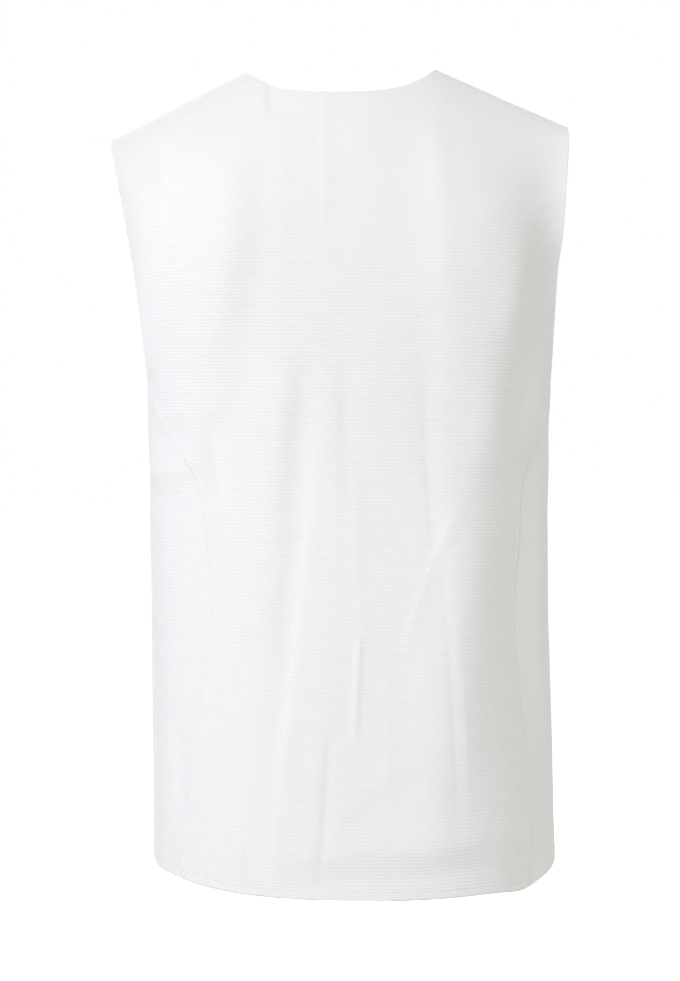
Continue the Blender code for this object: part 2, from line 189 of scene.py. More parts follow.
# The finer creases. across is measured along the cloth from the middle of the back, towards the wearer's
# left, and on round the side to the centre front, at about 0.44. top, middle and low are heights as in the
# sections, and on over the yoke. Each crease runs from (across_top, top) by (across_mid, middle) to
# (across_low, low). width is from its middle to where it fades on its steeper side, which is on the left as
# one walks up it, and lean is how many times wider the other side is. rise is how far it stands out.
Crease = namedtuple("Crease", "name across_top top across_mid middle across_low low width lean rise")
BACK_CREASES = (
    Crease("neck_line", 0.0155, 0.010, 0.0165, -0.080, 0.0180, -0.180, 0.0030, 2.5, 0.00060),
    Crease("neck_dent", 0.0665, 0.014, 0.0630, -0.016, 0.0600, -0.046, 0.0055, 2.2, -0.00190),
    Crease("left_yoke_line", 0.0420, -0.040, 0.0400, -0.090, 0.0430, -0.160, 0.0080, 1.5, -0.00030),
    Crease("right_yoke_ridge", -0.0780, -0.040, -0.0800, -0.120, -0.0820, -0.230, 0.0080, 1.5, 0.00080),
    Crease("right_yoke_line", -0.0930, -0.010, -0.1000, -0.070, -0.1050, -0.150, 0.0120, 1.0, -0.00050),
    Crease("middle_trough_deep", 0.0400, -0.215, 0.0490, -0.380, 0.0720, -0.590, 0.0090, 1.5, -0.00160),
    Crease("middle_edge", 0.0290, -0.320, 0.0430, -0.460, 0.0760, -0.690, 0.0042, 2.5, 0.00125),
    Crease("middle_edge_low", 0.0560, -0.520, 0.0650, -0.600, 0.0730, -0.695, 0.0042, 2.5, 0.00080),
    Crease("middle_dip", 0.0000, -0.235, 0.0010, -0.310, 0.0015, -0.385, 0.0070, 1.0, -0.00080),
    Crease("middle_dash", 0.0040, -0.240, 0.0050, -0.290, 0.0070, -0.350, 0.0030, 1.5, -0.00055),
    Crease("middle_ridge", -0.0040, -0.330, -0.0045, -0.410, -0.0060, -0.500, 0.0040, 1.5, 0.00060),
    Crease("short_crease", -0.0065, -0.465, -0.0020, -0.515, 0.0015, -0.572, 0.0032, 1.0, 0.00140),
    Crease("lower_ridge", -0.0275, -0.480, -0.0260, -0.545, -0.0240, -0.625, 0.0030, 2.0, 0.00040),
    Crease("curved_ridge", -0.1060, -0.345, -0.0630, -0.428, -0.0360, -0.515, 0.0032, 2.2, 0.00095),
    Crease("long_line_upper", -0.0640, -0.240, -0.0650, -0.340, -0.0700, -0.460, 0.0038, 2.0, -0.00075),
    Crease("long_line_lower", -0.0715, -0.380, -0.0785, -0.510, -0.0850, -0.650, 0.0028, 1.2, -0.00055),
    Crease("long_ridge_lower", -0.0820, -0.440, -0.0900, -0.545, -0.0950, -0.665, 0.0026, 1.4, 0.00035),
    Crease("hem_line", 0.0220, -0.540, 0.0255, -0.602, 0.0370, -0.700, 0.0036, 2.0, -0.00115),
    Crease("hem_swell_back", 0.0900, -0.650, -0.0200, -0.640, -0.1650, -0.634, 0.0100, 1.8, 0.00260),
    Crease("hem_trough", 0.0900, -0.674, -0.0300, -0.662, -0.1550, -0.656, 0.0070, 1.0, -0.00115),
    Crease("hem_slant", 0.0300, -0.632, -0.0080, -0.596, -0.0680, -0.566, 0.0080, 1.5, 0.00080),
    Crease("hem_notch", 0.0990, -0.636, 0.0988, -0.655, 0.0986, -0.674, 0.0032, 1.0, 0.00120),
    Crease("waist_dent", 0.1220, -0.290, 0.1170, -0.336, 0.1120, -0.385, 0.0095, 1.0, -0.00420),
    Crease("pinch_above", 0.1400, -0.306, 0.1650, -0.316, 0.2000, -0.320, 0.0100, 1.0, -0.00350),
    Crease("pinch_ridge", 0.1300, -0.338, 0.1620, -0.346, 0.2050, -0.350, 0.0100, 1.0, 0.00450),
    Crease("left_side_dent", 0.1640, -0.540, 0.1660, -0.592, 0.1670, -0.645, 0.0100, 1.0, -0.00220),
    Crease("pinch_below", 0.1500, -0.366, 0.1700, -0.371, 0.2000, -0.375, 0.0100, 1.0, -0.00300),
    Crease("hem_corner_dent", -0.1440, -0.630, -0.1470, -0.655, -0.1480, -0.685, 0.0110, 1.0, -0.00180),
    Crease("left_armhole_dip", 0.1660, -0.055, 0.1640, -0.090, 0.1580, -0.130, 0.0080, 1.0, -0.00160),
    Crease("right_underarm_swell", -0.1720, -0.110, -0.1350, -0.240, -0.1110, -0.370, 0.0220, 1.0, 0.00360),
    Crease("right_underarm_fall", -0.2020, -0.110, -0.1670, -0.240, -0.1430, -0.370, 0.0240, 1.0, -0.00420),
    Crease("right_armhole_flare", -0.2040, -0.075, -0.2030, -0.120, -0.2000, -0.165, 0.0160, 1.0, 0.00360),
    Crease("right_back_swell", -0.0880, 0.050, -0.0850, -0.300, -0.0680, -0.740, 0.0280, 1.6, 0.00420),
)
FRONT_CREASES = (
    Crease("left_armhole_line", 0.2420, -0.150, 0.2560, -0.215, 0.2680, -0.290, 0.0080, 1.0, 0.00264),
    Crease("left_side_line", 0.2620, -0.330, 0.2550, -0.430, 0.2620, -0.560, 0.0060, 1.0, -0.00181),
    Crease("left_chest_line", 0.3520, -0.235, 0.3430, -0.360, 0.3510, -0.525, 0.0050, 2.0, 0.00148),
    Crease("left_short_crease", 0.3970, -0.420, 0.4010, -0.455, 0.3990, -0.500, 0.0040, 1.0, 0.00132),
    Crease("left_hem_line", 0.3120, -0.560, 0.3050, -0.610, 0.3130, -0.674, 0.0045, 2.0, -0.00165),
    Crease("left_hem_swell", 0.2650, -0.650, 0.3450, -0.640, 0.4250, -0.648, 0.0090, 1.0, 0.00198),
    Crease("right_armhole_line", -0.2380, -0.165, -0.2550, -0.230, -0.2700, -0.305, 0.0090, 1.0, 0.00247),
    Crease("right_curved_ridge", -0.2850, -0.350, -0.3150, -0.412, -0.3290, -0.500, 0.0046, 2.5, 0.00159),
    Crease("right_chest_line", -0.3700, -0.260, -0.3610, -0.400, -0.3720, -0.590, 0.0060, 2.0, -0.00165),
    Crease("right_hem_line", -0.3930, -0.575, -0.3880, -0.622, -0.3950, -0.676, 0.0042, 1.0, 0.00138),
    Crease("right_hem_swell", -0.2600, -0.643, -0.3350, -0.650, -0.4200, -0.641, 0.0090, 1.0, 0.00198),
)
CREASES = BACK_CREASES + FRONT_CREASES
CREASE_STEPS = 16
CREASE_REACH = 3.0  # in widths
CREASE_FADE = 0.30  # share of a crease's length over which it fades in and out

# The slight unevenness of the cloth between its creases
SWELL_WAVES = 24
SWELL_SHORTEST = 0.030
SWELL_LONGEST = 0.160
SWELL_SEED = 7

# What each panel was cut to: its widest, its longest and its area
Cut = namedtuple("Cut", "width length area")

# The rounded edges of the cloth
RIM_STEPS = 2
RIM_RADIUS = 0.0005

# The rows of stitches that link the pieces, and the allowances inside
LINK_HALF_WIDTH = 0.0011
LINK_HALF_DEPTH = 0.0008
LINK_SWELL = 0.08  # how much each stitch swells the row, as a share
LINK_SPACING = 0.0007
LINK_SIDES = 8
ALLOWANCE_HALF_WIDTH = 0.0035
ALLOWANCE_HALF_DEPTH = 0.0011
ALLOWANCE_SPACING = 0.004
ALLOWANCE_SIDES = 10
LEAST_SEAM_POINTS = 3
SIDE_SEAM_PROUD = 0.0004
LEFT_SEAM_ASIDE = 0.0003  # towards the back
RIGHT_SEAM_ASIDE = 0.0012  # the same, which leaves a groove beside the row
HEM_SEAM_PROUD = 0.0003

# The knit. Its noise scales are for each metre of cloth where nothing else is said.
RIB_SHAPE = 0.45  # power of a rib's section; less is a flatter rib with a narrower valley
YOKE_RIB_SHARE = 0.25  # how much of the ribs' depth is left at the top of the yoke
COURSE_DRIFT_SCALE = 45.0
WALE_DRIFT_SCALE = 90.0
STREAK_SCALE_ACROSS = 14.0
STREAK_SCALE_UP = 0.9  # for each course
STREAK_LEAST = 0.2
STREAK_GAIN = 1.6
STITCH_SHADE = 0.3  # how much of the shade painted between the ribs also falls between stitches
FUZZ_HEIGHT = 0.00003
FUZZ_SCALE = 900.0
FUZZ_DETAIL = 3.0
YARN_SPECULAR = 0.2
SHEEN_ROUGHNESS = 0.5
WELT_RIB_SHARE = 0.1
# Shade painted into the colour between the welt's ribs, as a share of the yarn's lightness
WELT_VALLEY_SHADE = 0.98

# The studio
WHITE = (1.0, 1.0, 1.0, 1.0)
FRAME_SIDE = 36.0  # in millimetres
CAMERA_CLIP_END = 60.0
MIDDLE = Vector((0.0, 0.0, -0.36))  # of the garment
LIGHT_DISTANCE = 3.0
LIGHT_SIZE = 1.4
KEY_LIGHT_PLACE = (41.0, 27.0)  # azimuth and elevation, in degrees
FRONT_LIGHT_PLACE = (155.0, 30.0)
FLOOR_RADIUS = 20.0
FLOOR_SIDES = 64
FLOOR_COLOUR = (0.85, 0.85, 0.85, 1.0)
FLOOR_ROUGHNESS = 0.7
FLOOR_GLOW = 0.55

# A grid's outer and inner faces, and the lengths across and up the cloth that its map holds
Cloth = namedtuple("Cloth", "outer inner across height")


def smooth(share):
    """Eases a share from 0 to 1, level at both ends."""
    share = np.clip(share, 0.0, 1.0)
    return share * share * (3.0 - 2.0 * share)


def blend(start, end, share):
    """Gives what lies between start and end at a share of the way."""
    return start + (end - start) * share


def bent(start, middle, end, share):
    """Gives what lies at a share of the way along a smooth curve from start by middle to end."""
    bend = 2.0 * middle - 0.5 * (start + end)
    return (1 - share) ** 2 * start + 2 * share * (1 - share) * bend + share**2 * end


def along(column, height):
    """Reads a column of the sections at a height, on a smooth curve through its rows."""
    heights = np.array([row.height for row in SECTIONS])
    values = np.array([getattr(row, column) for row in SECTIONS])
    slopes = np.gradient(values, heights)
    row = np.clip(np.searchsorted(heights, height) - 1, 0, len(heights) - 2)
    step = heights[row + 1] - heights[row]
    share = np.clip((height - heights[row]) / step, 0.0, 1.0)
    return (
        blend(values[row], values[row + 1], smooth(share))
        + slopes[row] * step * share * (1.0 - share) ** 2
        - slopes[row + 1] * step * share**2 * (1.0 - share)
    )


def rounded(value, power):
    """Raises a sine or cosine to a section's power and keeps its sign."""
    return np.sign(value) * np.abs(value) ** power


def seam_draw(angle, height):
    """How much smaller the body is at an angle, as a share, because the side seams draw it in."""
    draw = 0.0
    for side, depth in ((-1, SEAM_DRAW_RIGHT), (1, SEAM_DRAW_LEFT)):
        off = side * angle - seam_angle(side, height)
        spread = np.where(off < 0.0, SEAM_DRAW_BACK_SPREAD, SEAM_DRAW_SPREAD)
        draw = draw + depth * np.exp(-((off / spread) ** 2))
    return draw * smooth((UNDERARM_HEIGHT - height) / SEAM_DRAW_TOP) / along("half_width", height)


def body_point(angle, height):
    """A point of the body. Angle 0 is the middle of the back, and the left side is a quarter turn on."""
    size = 1.0 - seam_draw(angle, height)
    power = np.where(np.sin(angle) < 0.0, ROUNDNESS_RIGHT, ROUNDNESS_LEFT)
    across = size * rounded(np.sin(angle), power)
    behind = size * rounded(np.cos(angle), power)
    is_back = behind > 0.0
    depth = np.where(is_back, along("back", height), along("front", height))
    near_hem = smooth((HEM_CURVE_TOP - height) / (HEM_CURVE_TOP - SECTIONS[0].height))
    drop = np.where(is_back, HEM_BACK_DROP, HEM_FRONT_DROP) * np.abs(behind)
    drop = drop + HEM_DIP * np.exp(-(((angle + HEM_DIP_ANGLE) / HEM_DIP_SPREAD) ** 2))
    return np.stack(
        [
            along("shift", height) + along("half_width", height) * across,
            depth * behind,
            height - drop * near_hem + 0.5 * BODY_LEAN * across,
        ],
        axis=-1,
    )


def seam_angle(side, height):
    """The angle of the left (side 1) or right (side -1) side seam at a height."""
    if side > 0:
        return np.arcsin(along("seam_left", height) ** (1.0 / ROUNDNESS_LEFT))
    return np.arcsin(along("seam_right", height) ** (1.0 / ROUNDNESS_RIGHT))


def seam_clearance(height):
    """The angle that keeps half of a side seam's gap."""
    return 0.5 * SEAM_GAP / along("back", height)


def shoulder_point(side, share):
    """A point of a shoulder's line, from the neck point (share 0) to the tip (share 1)."""
    tip = np.where(side > 0.0, SHOULDER_HALF_WIDTH, SHOULDER_HALF_WIDTH - RIGHT_SHOULDER_SHORT)
    x = side * blend(NECK_HALF_WIDTH, tip, share)
    z = -(SHOULDER_DROP + 0.5 * side * SHOULDER_LEAN) * share
    return np.stack([x, np.zeros_like(x), z], axis=-1)


def back_top(column):
    """The line that the back rounds over to: the shoulders, and between them an arch over the neck.

    column runs from -1 at the right shoulder's tip to 1 at the left one's.
    """
    side = np.where(column < 0.0, -1.0, 1.0)
    top = shoulder_point(side, np.clip((np.abs(column) - NECK_SHARE) / (1.0 - NECK_SHARE), 0.0, 1.0))
    across = np.clip(column / NECK_SHARE, -1.0, 1.0)
    slope = SHOULDER_DROP / (SHOULDER_HALF_WIDTH - NECK_HALF_WIDTH)
    top[..., 0] += NECK_HALF_WIDTH * (across - side)
    top[..., 1] += 0.5 * SEAM_GAP
    top[..., 2] += 0.5 * NECK_HALF_WIDTH * slope * (1.0 - across**2)
    return top


def sideways(share, at_armhole):
    """The share of the way across from the underarms to the top line; straighter at the armholes."""
    return blend(smooth(share), share, at_armhole)


def neck_cut(column, bottom, top):
    """The share of the way up to the top line at which each column of the back ends."""
    cut = np.ones(column.shape[1])
    for _ in range(NECK_CUT_ROUNDS):
        x = blend(bottom[:, 0], top[:, 0], sideways(cut, column[0] ** 2))
        across = np.clip(np.abs(x) / NECK_HALF_WIDTH, 0.0, 1.0)
        edge = -NECK_BACK_DROP * (1.0 - across**NECK_FLATNESS)
        cut = np.clip((edge - bottom[:, 2]) / (top[:, 2] - bottom[:, 2]), 0.0, 1.0)
        cut = np.where(np.abs(column[0]) < NECK_SHARE, cut, 1.0)
    return cut


def yoke(bottom, top, share, fullness, at_armhole):
    """Rounds the cloth from the underarms' level (share 0) over to the shoulder or neck (share 1)."""
    point = blend(bottom, top, share[..., None])
    point[..., 0] = blend(bottom[..., 0], top[..., 0], sideways(share, at_armhole))
    over = (1.0 - share**YOKE_UPRIGHT) ** YOKE_TURN
    point[..., 1] = blend(top[..., 1], bottom[..., 1], over)
    point[..., 1] += fullness * np.sin(np.pi * share) ** FULLNESS_POWER
    return point


def armhole_edge(bottom, top, share, reach, lift):
    """An armhole's edge, from the side seam (share 0) to the shoulder's tip (share 1)."""
    rise = 0.5 * (1.0 - np.cos(np.pi * share))
    edge = blend(bottom, top, rise[..., None])
    bow = np.where(edge[..., 0] > 0.0, ARMHOLE_BOW_LEFT, ARMHOLE_BOW_RIGHT)
    edge[..., 0] -= np.sign(edge[..., 0]) * bow * np.sin(np.pi * rise)
    edge[..., 1] += reach * np.sin(np.pi * share**lift)
    return edge


def v_neck_edge(side, bottom, top, share):
    """A front's inner edge, from the underarms' level (share 0) up the V to the neck point (share 1)."""
    edge = blend(bottom, top, share[..., None])
    up = np.clip(1.0 - edge[..., 2] / V_POINT_HEIGHT, 0.0, 1.0)
    half_gap = 0.5 * FRONT_GAP_TOP
    shift = bottom[..., 0] - side * half_gap
    edge[..., 0] = side * blend(half_gap, NECK_HALF_WIDTH, up**V_NECK_CURVE) + shift * (1.0 - share)
    edge[..., 1] = blend(top[..., 1], bottom[..., 1], (1.0 - share**V_NECK_UPRIGHT) ** V_NECK_TURN)
    return edge


def normals(points, facing):
    """Unit normals of a grid of points that face back (facing 1) or front (facing -1)."""
    upward = np.gradient(points, axis=0, edge_order=min(2, points.shape[0] - 1))
    normal = np.cross(np.gradient(points, axis=1, edge_order=2), upward)
    normal /= np.linalg.norm(normal, axis=-1, keepdims=True)
    on_body = normal[normal.shape[0] // 3, normal.shape[1] // 2]  # faces well back or front there
    return normal * np.sign(on_body[1] * facing)


def back_body(column, height):
    """Rows of the back below the underarms; column is -1 at the right side seam and 1 at the left one."""
    right = seam_clearance(height) - seam_angle(-1, height)
    left = seam_angle(1, height) - seam_clearance(height)
    return body_point(blend(right, left, 0.5 * (column + 1.0)), height + 0.0 * column)


def front_body(side, column, height):
    """Rows of a front below the underarms; column runs from 0 at the side seam to 1 at the centre edge."""
    seam = seam_angle(side, height) + seam_clearance(height)
    body = body_point(side * blend(seam, np.pi, column), height + 0.0 * column)
    down = smooth((UNDERARM_HEIGHT - height) / (UNDERARM_HEIGHT - SECTIONS[0].height))
    body[..., 0] += side * 0.5 * blend(FRONT_GAP_TOP, FRONT_GAP_HEM, down) * column**2
    return body


def yoke_share():
    """The yoke's rows above the underarms' level, as shares of the way to the shoulders."""
    rows = YOKE_ROWS * FINE_YOKE_ROWS
    return np.linspace(0.0, 1.0, rows + 1)[1:, None]


def back_points(column, height):
    """The outer face of the back: its body rows, then the yoke's rows up to the shoulders and neck."""
    body = back_body(column, height)
    share = yoke_share() * neck_cut(column, body[-1], back_top(column)[0])
    bottom = body[-1:] + np.zeros((len(share), 1, 1))
    top = back_top(column)[0] + np.zeros((len(share), 1, 1))
    blade = np.where(column < 0.0, np.abs(column) ** BLADE_PLACE_RIGHT, column)
    fullness = MIDDLE_FULLNESS + BLADE_FULLNESS * np.sin(np.pi * blade) ** 2
    upper = yoke(bottom, top, share, fullness, column**2)
    for side, edge, reach, rise in (
        (-1, 0, ARMHOLE_RIGHT_REACH, ARMHOLE_RIGHT_RISE),
        (1, -1, ARMHOLE_LEFT_REACH, ARMHOLE_LEFT_RISE),
    ):
        wanted = armhole_edge(bottom[:, edge], top[:, edge], share[:, 0], reach, rise)
        pull = np.clip(side * column, 0.0, 1.0) ** BACK_ARMHOLE_PULL
        upper = upper + (wanted - upper[:, edge])[:, None] * pull[..., None]
    return np.concatenate([body, upper])


def front_points(side, column, height):
    """The outer face of a front: its body rows, then the yoke's rows up to the shoulder."""
    body = front_body(side, column, height)
    share = yoke_share()
    bottom = body[-1:] + np.zeros((len(share), 1, 1))
    top = shoulder_point(side, 1.0 - column)[0] + np.zeros((len(share), 1, 1))
    top[..., 1] -= 0.5 * SEAM_GAP
    eighth = 0.25 * np.pi  # fullness starts an eighth of a turn on at the side, and is gone at the centre
    fullness = -CHEST_FULLNESS * np.sin(eighth * (1.0 + 3.0 * column))
    upper = yoke(bottom, top, share + 0.0 * column, fullness, (1.0 - column) ** 2)
    armhole = armhole_edge(bottom[:, 0], top[:, 0], share[:, 0], -ARMHOLE_FRONT_REACH, ARMHOLE_FRONT_RISE)
    pull = (1.0 - column) ** FRONT_ARMHOLE_PULL
    upper = upper + (armhole - upper[:, 0])[:, None] * pull[..., None]
    v_neck = v_neck_edge(side, bottom[:, -1], top[:, -1], share[:, 0])
    pull = column**V_NECK_PULL
    upper = upper + (v_neck - upper[:, -1])[:, None] * pull[..., None]
    return np.concatenate([body, upper])


def fold_lift(folds, points, column):
    """How far the large folds lift the cloth out at each point, fading as they do in the model.

    column holds the grid's columns in the model's own columns, counted from a panel's side.
    """
    x, height = points[..., 0], points[..., 2]
    lift = np.zeros_like(x)
    for fold in folds:
        share = np.clip((fold.top - height) / (fold.top - fold.low), 0.0, 1.0)
        path = bent(fold.x_top, fold.x_mid, fold.x_low, share)
        beyond = np.maximum(height - fold.top, 0.0) + np.maximum(fold.low - height, 0.0)
        ends = np.exp(-((beyond / (FOLD_END * fold.width)) ** 2))
        lift += fold.rise * ends * np.exp(-(((x - path) / fold.width) ** 2))
    body_row = np.arange(BODY_ROWS * FINE_BODY_ROWS) / FINE_BODY_ROWS
    yoke_row = BODY_ROWS + np.arange(YOKE_ROWS * FINE_YOKE_ROWS + 1) / FINE_YOKE_ROWS
    row = np.concatenate([body_row, yoke_row])[:, None]
    from_side = np.minimum(column, column[0, -1] - column)
    lift *= smooth(from_side / SIDE_FADE)
    return lift * smooth((BODY_ROWS + YOKE_ROWS - row) / TOP_FADE) * smooth(row / HEM_FADE)


def row_distance(points):
    """Distance along each row of a grid of points, from its first column."""
    steps = np.linalg.norm(np.diff(points, axis=1), axis=-1)
    return np.concatenate([np.zeros((len(points), 1)), np.cumsum(steps, axis=1)], axis=1)


def back_across(points):
    """Distance along the cloth from the middle of the back, towards the wearer's left."""
    distance = row_distance(points)
    middle = [np.interp(0.0, row[:, 0], run) for row, run in zip(points, distance)]
    return distance - np.array(middle)[:, None]


def front_across(points):
    """Distance along the cloth from a front's centre edge, towards its side."""
    distance = row_distance(points)
    return distance[:, -1:] - distance


def cloth_height(points, body_height):
    """Height along the cloth: the body's own up to the underarms, then measured up over the yoke."""
    body = body_height + np.zeros((1, points.shape[1]))
    climb = np.linalg.norm(np.diff(points[len(body) - 1 :], axis=0)[..., 1:], axis=-1)
    return np.concatenate([body, UNDERARM_HEIGHT + np.cumsum(climb, axis=0)])


def crease_path(crease):
    """Points along a crease, each a length across and a height."""
    top = np.array([crease.across_top, crease.top])
    middle = np.array([crease.across_mid, crease.middle])
    low = np.array([crease.across_low, crease.low])
    return bent(top, middle, low, np.linspace(0.0, 1.0, CREASE_STEPS + 1)[:, None])


def off_crease(crease, path, spot):
    """Each spot's distance from a crease's path, its share of the way along, and the width on its side."""
    nearest = np.full(len(spot), np.inf)
    place = np.zeros(len(spot))
    width = np.zeros(len(spot))
    for step, (here, there) in enumerate(zip(path, path[1:])):
        run = there - here
        part = np.clip((spot - here) @ run / (run @ run), 0.0, 1.0)
        distance = np.linalg.norm(spot - here - part[:, None] * run, axis=-1)
        closer = distance < nearest
        nearest = np.where(closer, distance, nearest)
        place = np.where(closer, (step + part) / CREASE_STEPS, place)
        turn = run[0] * (spot[:, 1] - here[1]) - run[1] * (spot[:, 0] - here[0])
        width = np.where(closer, crease.width * np.where(turn > 0.0, 1.0, crease.lean), width)
    return nearest, place, width


def crease_lift(across, height, strength):
    """How far the finer creases lift the cloth out at each point of it."""
    lift = np.zeros_like(across)
    for crease in CREASES:
        path = crease_path(crease)
        reach = CREASE_REACH * crease.width * crease.lean
        low, high = path.min(axis=0) - reach, path.max(axis=0) + reach
        near = (across > low[0]) & (across < high[0]) & (height > low[1]) & (height < high[1])
        if near.any():
            spot = np.stack([across[near], height[near]], axis=-1)
            nearest, place, width = off_crease(crease, path, spot)
            ends = smooth(place / CREASE_FADE) * smooth((1.0 - place) / CREASE_FADE)
            lift[near] += crease.rise * ends * np.exp(-((nearest / width) ** 2))
    return strength * lift


def swell_lift(across, height, rise):
    """How far the cloth's slight unevenness lifts it, from waves that cross at all angles."""
    chance = np.random.default_rng(SWELL_SEED)
    lift = np.zeros_like(across)
    for _ in range(SWELL_WAVES):
        length = SWELL_SHORTEST * (SWELL_LONGEST / SWELL_SHORTEST) ** chance.random()
        heading = np.pi * chance.random()
        phase = 2.0 * np.pi * chance.random()
        way = across * np.cos(heading) + height * np.sin(heading)
        lift += np.sin(2.0 * np.pi * way / length + phase) * length / SWELL_LONGEST
    return rise * lift / np.sqrt(0.5 * SWELL_WAVES)


def cardigan_settings():
    """The scene's settings."""
    return bpy.context.scene.knit_cardigan


def folded(points, lift, across, height, facing):
    """Lifts a grid of points by its folds and creases, and gives it the cloth's thickness inwards."""
    settings = cardigan_settings()
    outward = normals(points, facing)
    lift = lift + crease_lift(across, height, settings.crease_strength)
    lift = lift + swell_lift(across, height, settings.swell_rise)
    outer = points + outward * lift[..., None]
    return Cloth(outer, outer - settings.thickness * outward, across, height)


def panel_heights():
    """The heights of a panel's rows below the underarms."""
    low = SECTIONS[0].height + WELT_HEIGHT + SEAM_GAP
    return np.linspace(low, UNDERARM_HEIGHT, BODY_ROWS * FINE_BODY_ROWS + 1)[:, None]


def welt_heights():
    """The heights of a hem welt's rows."""
    hem = SECTIONS[0].height
    return np.linspace(hem, hem + WELT_HEIGHT, WELT_FINE_ROWS + 1)[:, None]


def evenly(start, rows, count):
    """Columns from start to 1 that lie evenly along the cloth at EVEN_HEIGHT."""
    column = np.linspace(start, 1.0, EVEN_STEPS)
    run = row_distance(rows(column[None, :], np.array([[EVEN_HEIGHT]])))[0]
    return np.interp(np.linspace(0.0, run[-1], count + 1), run, column)[None, :]


def back_columns():
    """The back's columns, from -1 at the right to 1 at the left."""
    return evenly(-1.0, back_body, BACK_COLUMNS * FINE_COLUMNS)


def front_columns():
    """A front's columns, from 0 at the side to 1 at the centre edge."""
    return evenly(0.0, lambda column, height: front_body(1, column, height), FRONT_COLUMNS * FINE_COLUMNS)


def back_cloth():
    """The back panel's faces."""
    column = back_columns()
    points = back_points(column, panel_heights())
    across = back_across(points)
    height = cloth_height(points, panel_heights())
    lift = fold_lift(BACK_FOLDS, points, 0.5 * (column + 1.0) * BACK_COLUMNS)
    return folded(points, lift, across, height, 1)


def front_cloth(side):
    """A front panel's faces."""
    column = front_columns()
    points = front_points(side, column, panel_heights())
    across = front_across(points)
    height = cloth_height(points, panel_heights())
    folds = LEFT_FRONT_FOLDS if side > 0 else RIGHT_FRONT_FOLDS
    girth = side * (half_girth(height) - across)
    cloth = folded(points, fold_lift(folds, points, column * FRONT_COLUMNS), girth, height, -1)
    return cloth._replace(across=across)


def welt_cloth(side):
    """A hem welt's faces: the back's where side is 0, and else a front's."""
    height = welt_heights()
    points = front_body(side, front_columns(), height) if side else back_body(back_columns(), height)
    levels = height + np.zeros((1, points.shape[1]))
    across = front_across(points) if side else back_across(points)
    girth = side * (half_girth(levels) - across) if side else across
    cloth = folded(points, np.zeros_like(girth), girth, levels, -1 if side else 1)
    return cloth._replace(across=across)


def half_girth(height):
    """Half of the way round the body at each height, from the middle of the back to the centre front."""
    levels = np.linspace(SECTIONS[0].height, UNDERARM_HEIGHT, GIRTH_LEVELS)
    angle = np.linspace(0.0, np.pi, GIRTH_STEPS)
    girths = [row_distance(body_point(angle, level + 0.0 * angle)[None])[0, -1] for level in levels]
    return np.interp(height, levels, girths)


def grid_quads(rows, columns, offset):
    """The faces of a grid of vertices whose first number is offset."""
    corner = offset + np.arange(rows - 1)[:, None] * columns + np.arange(columns - 1)[None, :]
    quads = np.stack([corner, corner + 1, corner + 1 + columns, corner + columns], axis=-1)
    return quads.reshape(-1, 4)


def perimeter(rows, columns):
    """The vertices round a grid's edge, in order."""
    index = np.arange(rows * columns).reshape(rows, columns)
    return np.concatenate([index[0], index[1:, -1], index[-1, -2::-1], index[-2:0:-1, 0]])


def edge_outward(points):
    """Unit directions that point off a grid's edge, in its own surface."""
    outward = np.zeros_like(points)
    outward[0] += points[0] - points[1]
    outward[-1] += points[-1] - points[-2]
    outward[:, 0] += points[:, 0] - points[:, 1]
    outward[:, -1] += points[:, -1] - points[:, -2]
    flat = outward.reshape(-1, 3)[perimeter(*points.shape[:2])]
    return flat / np.linalg.norm(flat, axis=-1, keepdims=True)


def with_support(grid):
    """Adds a row and a column half-way to each edge of a grid, so that its face stays flat to the rim."""
    for _ in range(2):
        first, last = blend(grid[:1], grid[1:2], 0.5), blend(grid[-1:], grid[-2:-1], 0.5)
        grid = np.concatenate([grid[:1], first, grid[1:-1], last, grid[-1:]])
        grid = np.swapaxes(grid, 0, 1)
    return grid


def rounded_rim(outer, inner, outward):
    """Loops of points over a shell's rim, from just off its outer corner to just off its inner one."""
    middle = 0.5 * (outer + inner)
    half = 0.5 * np.linalg.norm(outer - inner, axis=-1, keepdims=True)
    up = 0.5 * (outer - inner) / half
    loops = []
    turns = np.linspace(0.0, 0.5 * np.pi, RIM_STEPS + 1)[1:]
    for way, steps in ((1.0, turns), (-1.0, turns[::-1])):
        for turn in steps:
            rise = way * (half - RIM_RADIUS * (1.0 - np.cos(turn)))
            loops.append(middle + rise * up - RIM_RADIUS * (1.0 - np.sin(turn)) * outward)
    return loops


def add_shell(name, cloth, material):
    """Makes a closed shell of cloth with a rim rounded at both corners, and maps its own lengths to it."""
    outer, inner, across, height = (with_support(part) for part in cloth)
    first = np.cross(outer[0, 1] - outer[0, 0], outer[1, 0] - outer[0, 0])
    if np.dot(first, outer[0, 0] - inner[0, 0]) < 0.0:
        outer, inner, across, height = (part[:, ::-1] for part in (outer, inner, across, height))
    rows, columns = outer.shape[:2]
    count = rows * columns
    rim = perimeter(rows, columns)
    outward = edge_outward(0.5 * (outer + inner))
    outer, inner = outer.reshape(-1, 3).copy(), inner.reshape(-1, 3).copy()
    loops = rounded_rim(outer[rim], inner[rim], outward)
    outer[rim] -= RIM_RADIUS * outward
    inner[rim] -= RIM_RADIUS * outward
    vertices = np.concatenate([outer, inner] + loops)
    lengths = np.stack([across.reshape(-1), height.reshape(-1)], axis=-1)
    lengths = np.concatenate([lengths, lengths] + [lengths[rim]] * len(loops))
    faces = [grid_quads(rows, columns, 0), grid_quads(rows, columns, count)[:, ::-1]]
    rings = [rim] + [2 * count + step * len(rim) + np.arange(len(rim)) for step in range(len(loops))]
    rings.append(count + rim)
    for near, far in zip(rings, rings[1:]):
        faces.append(np.stack([np.roll(near, -1), near, far, np.roll(far, -1)], axis=-1))
    return add_mesh(name, vertices, np.concatenate(faces), lengths, material)


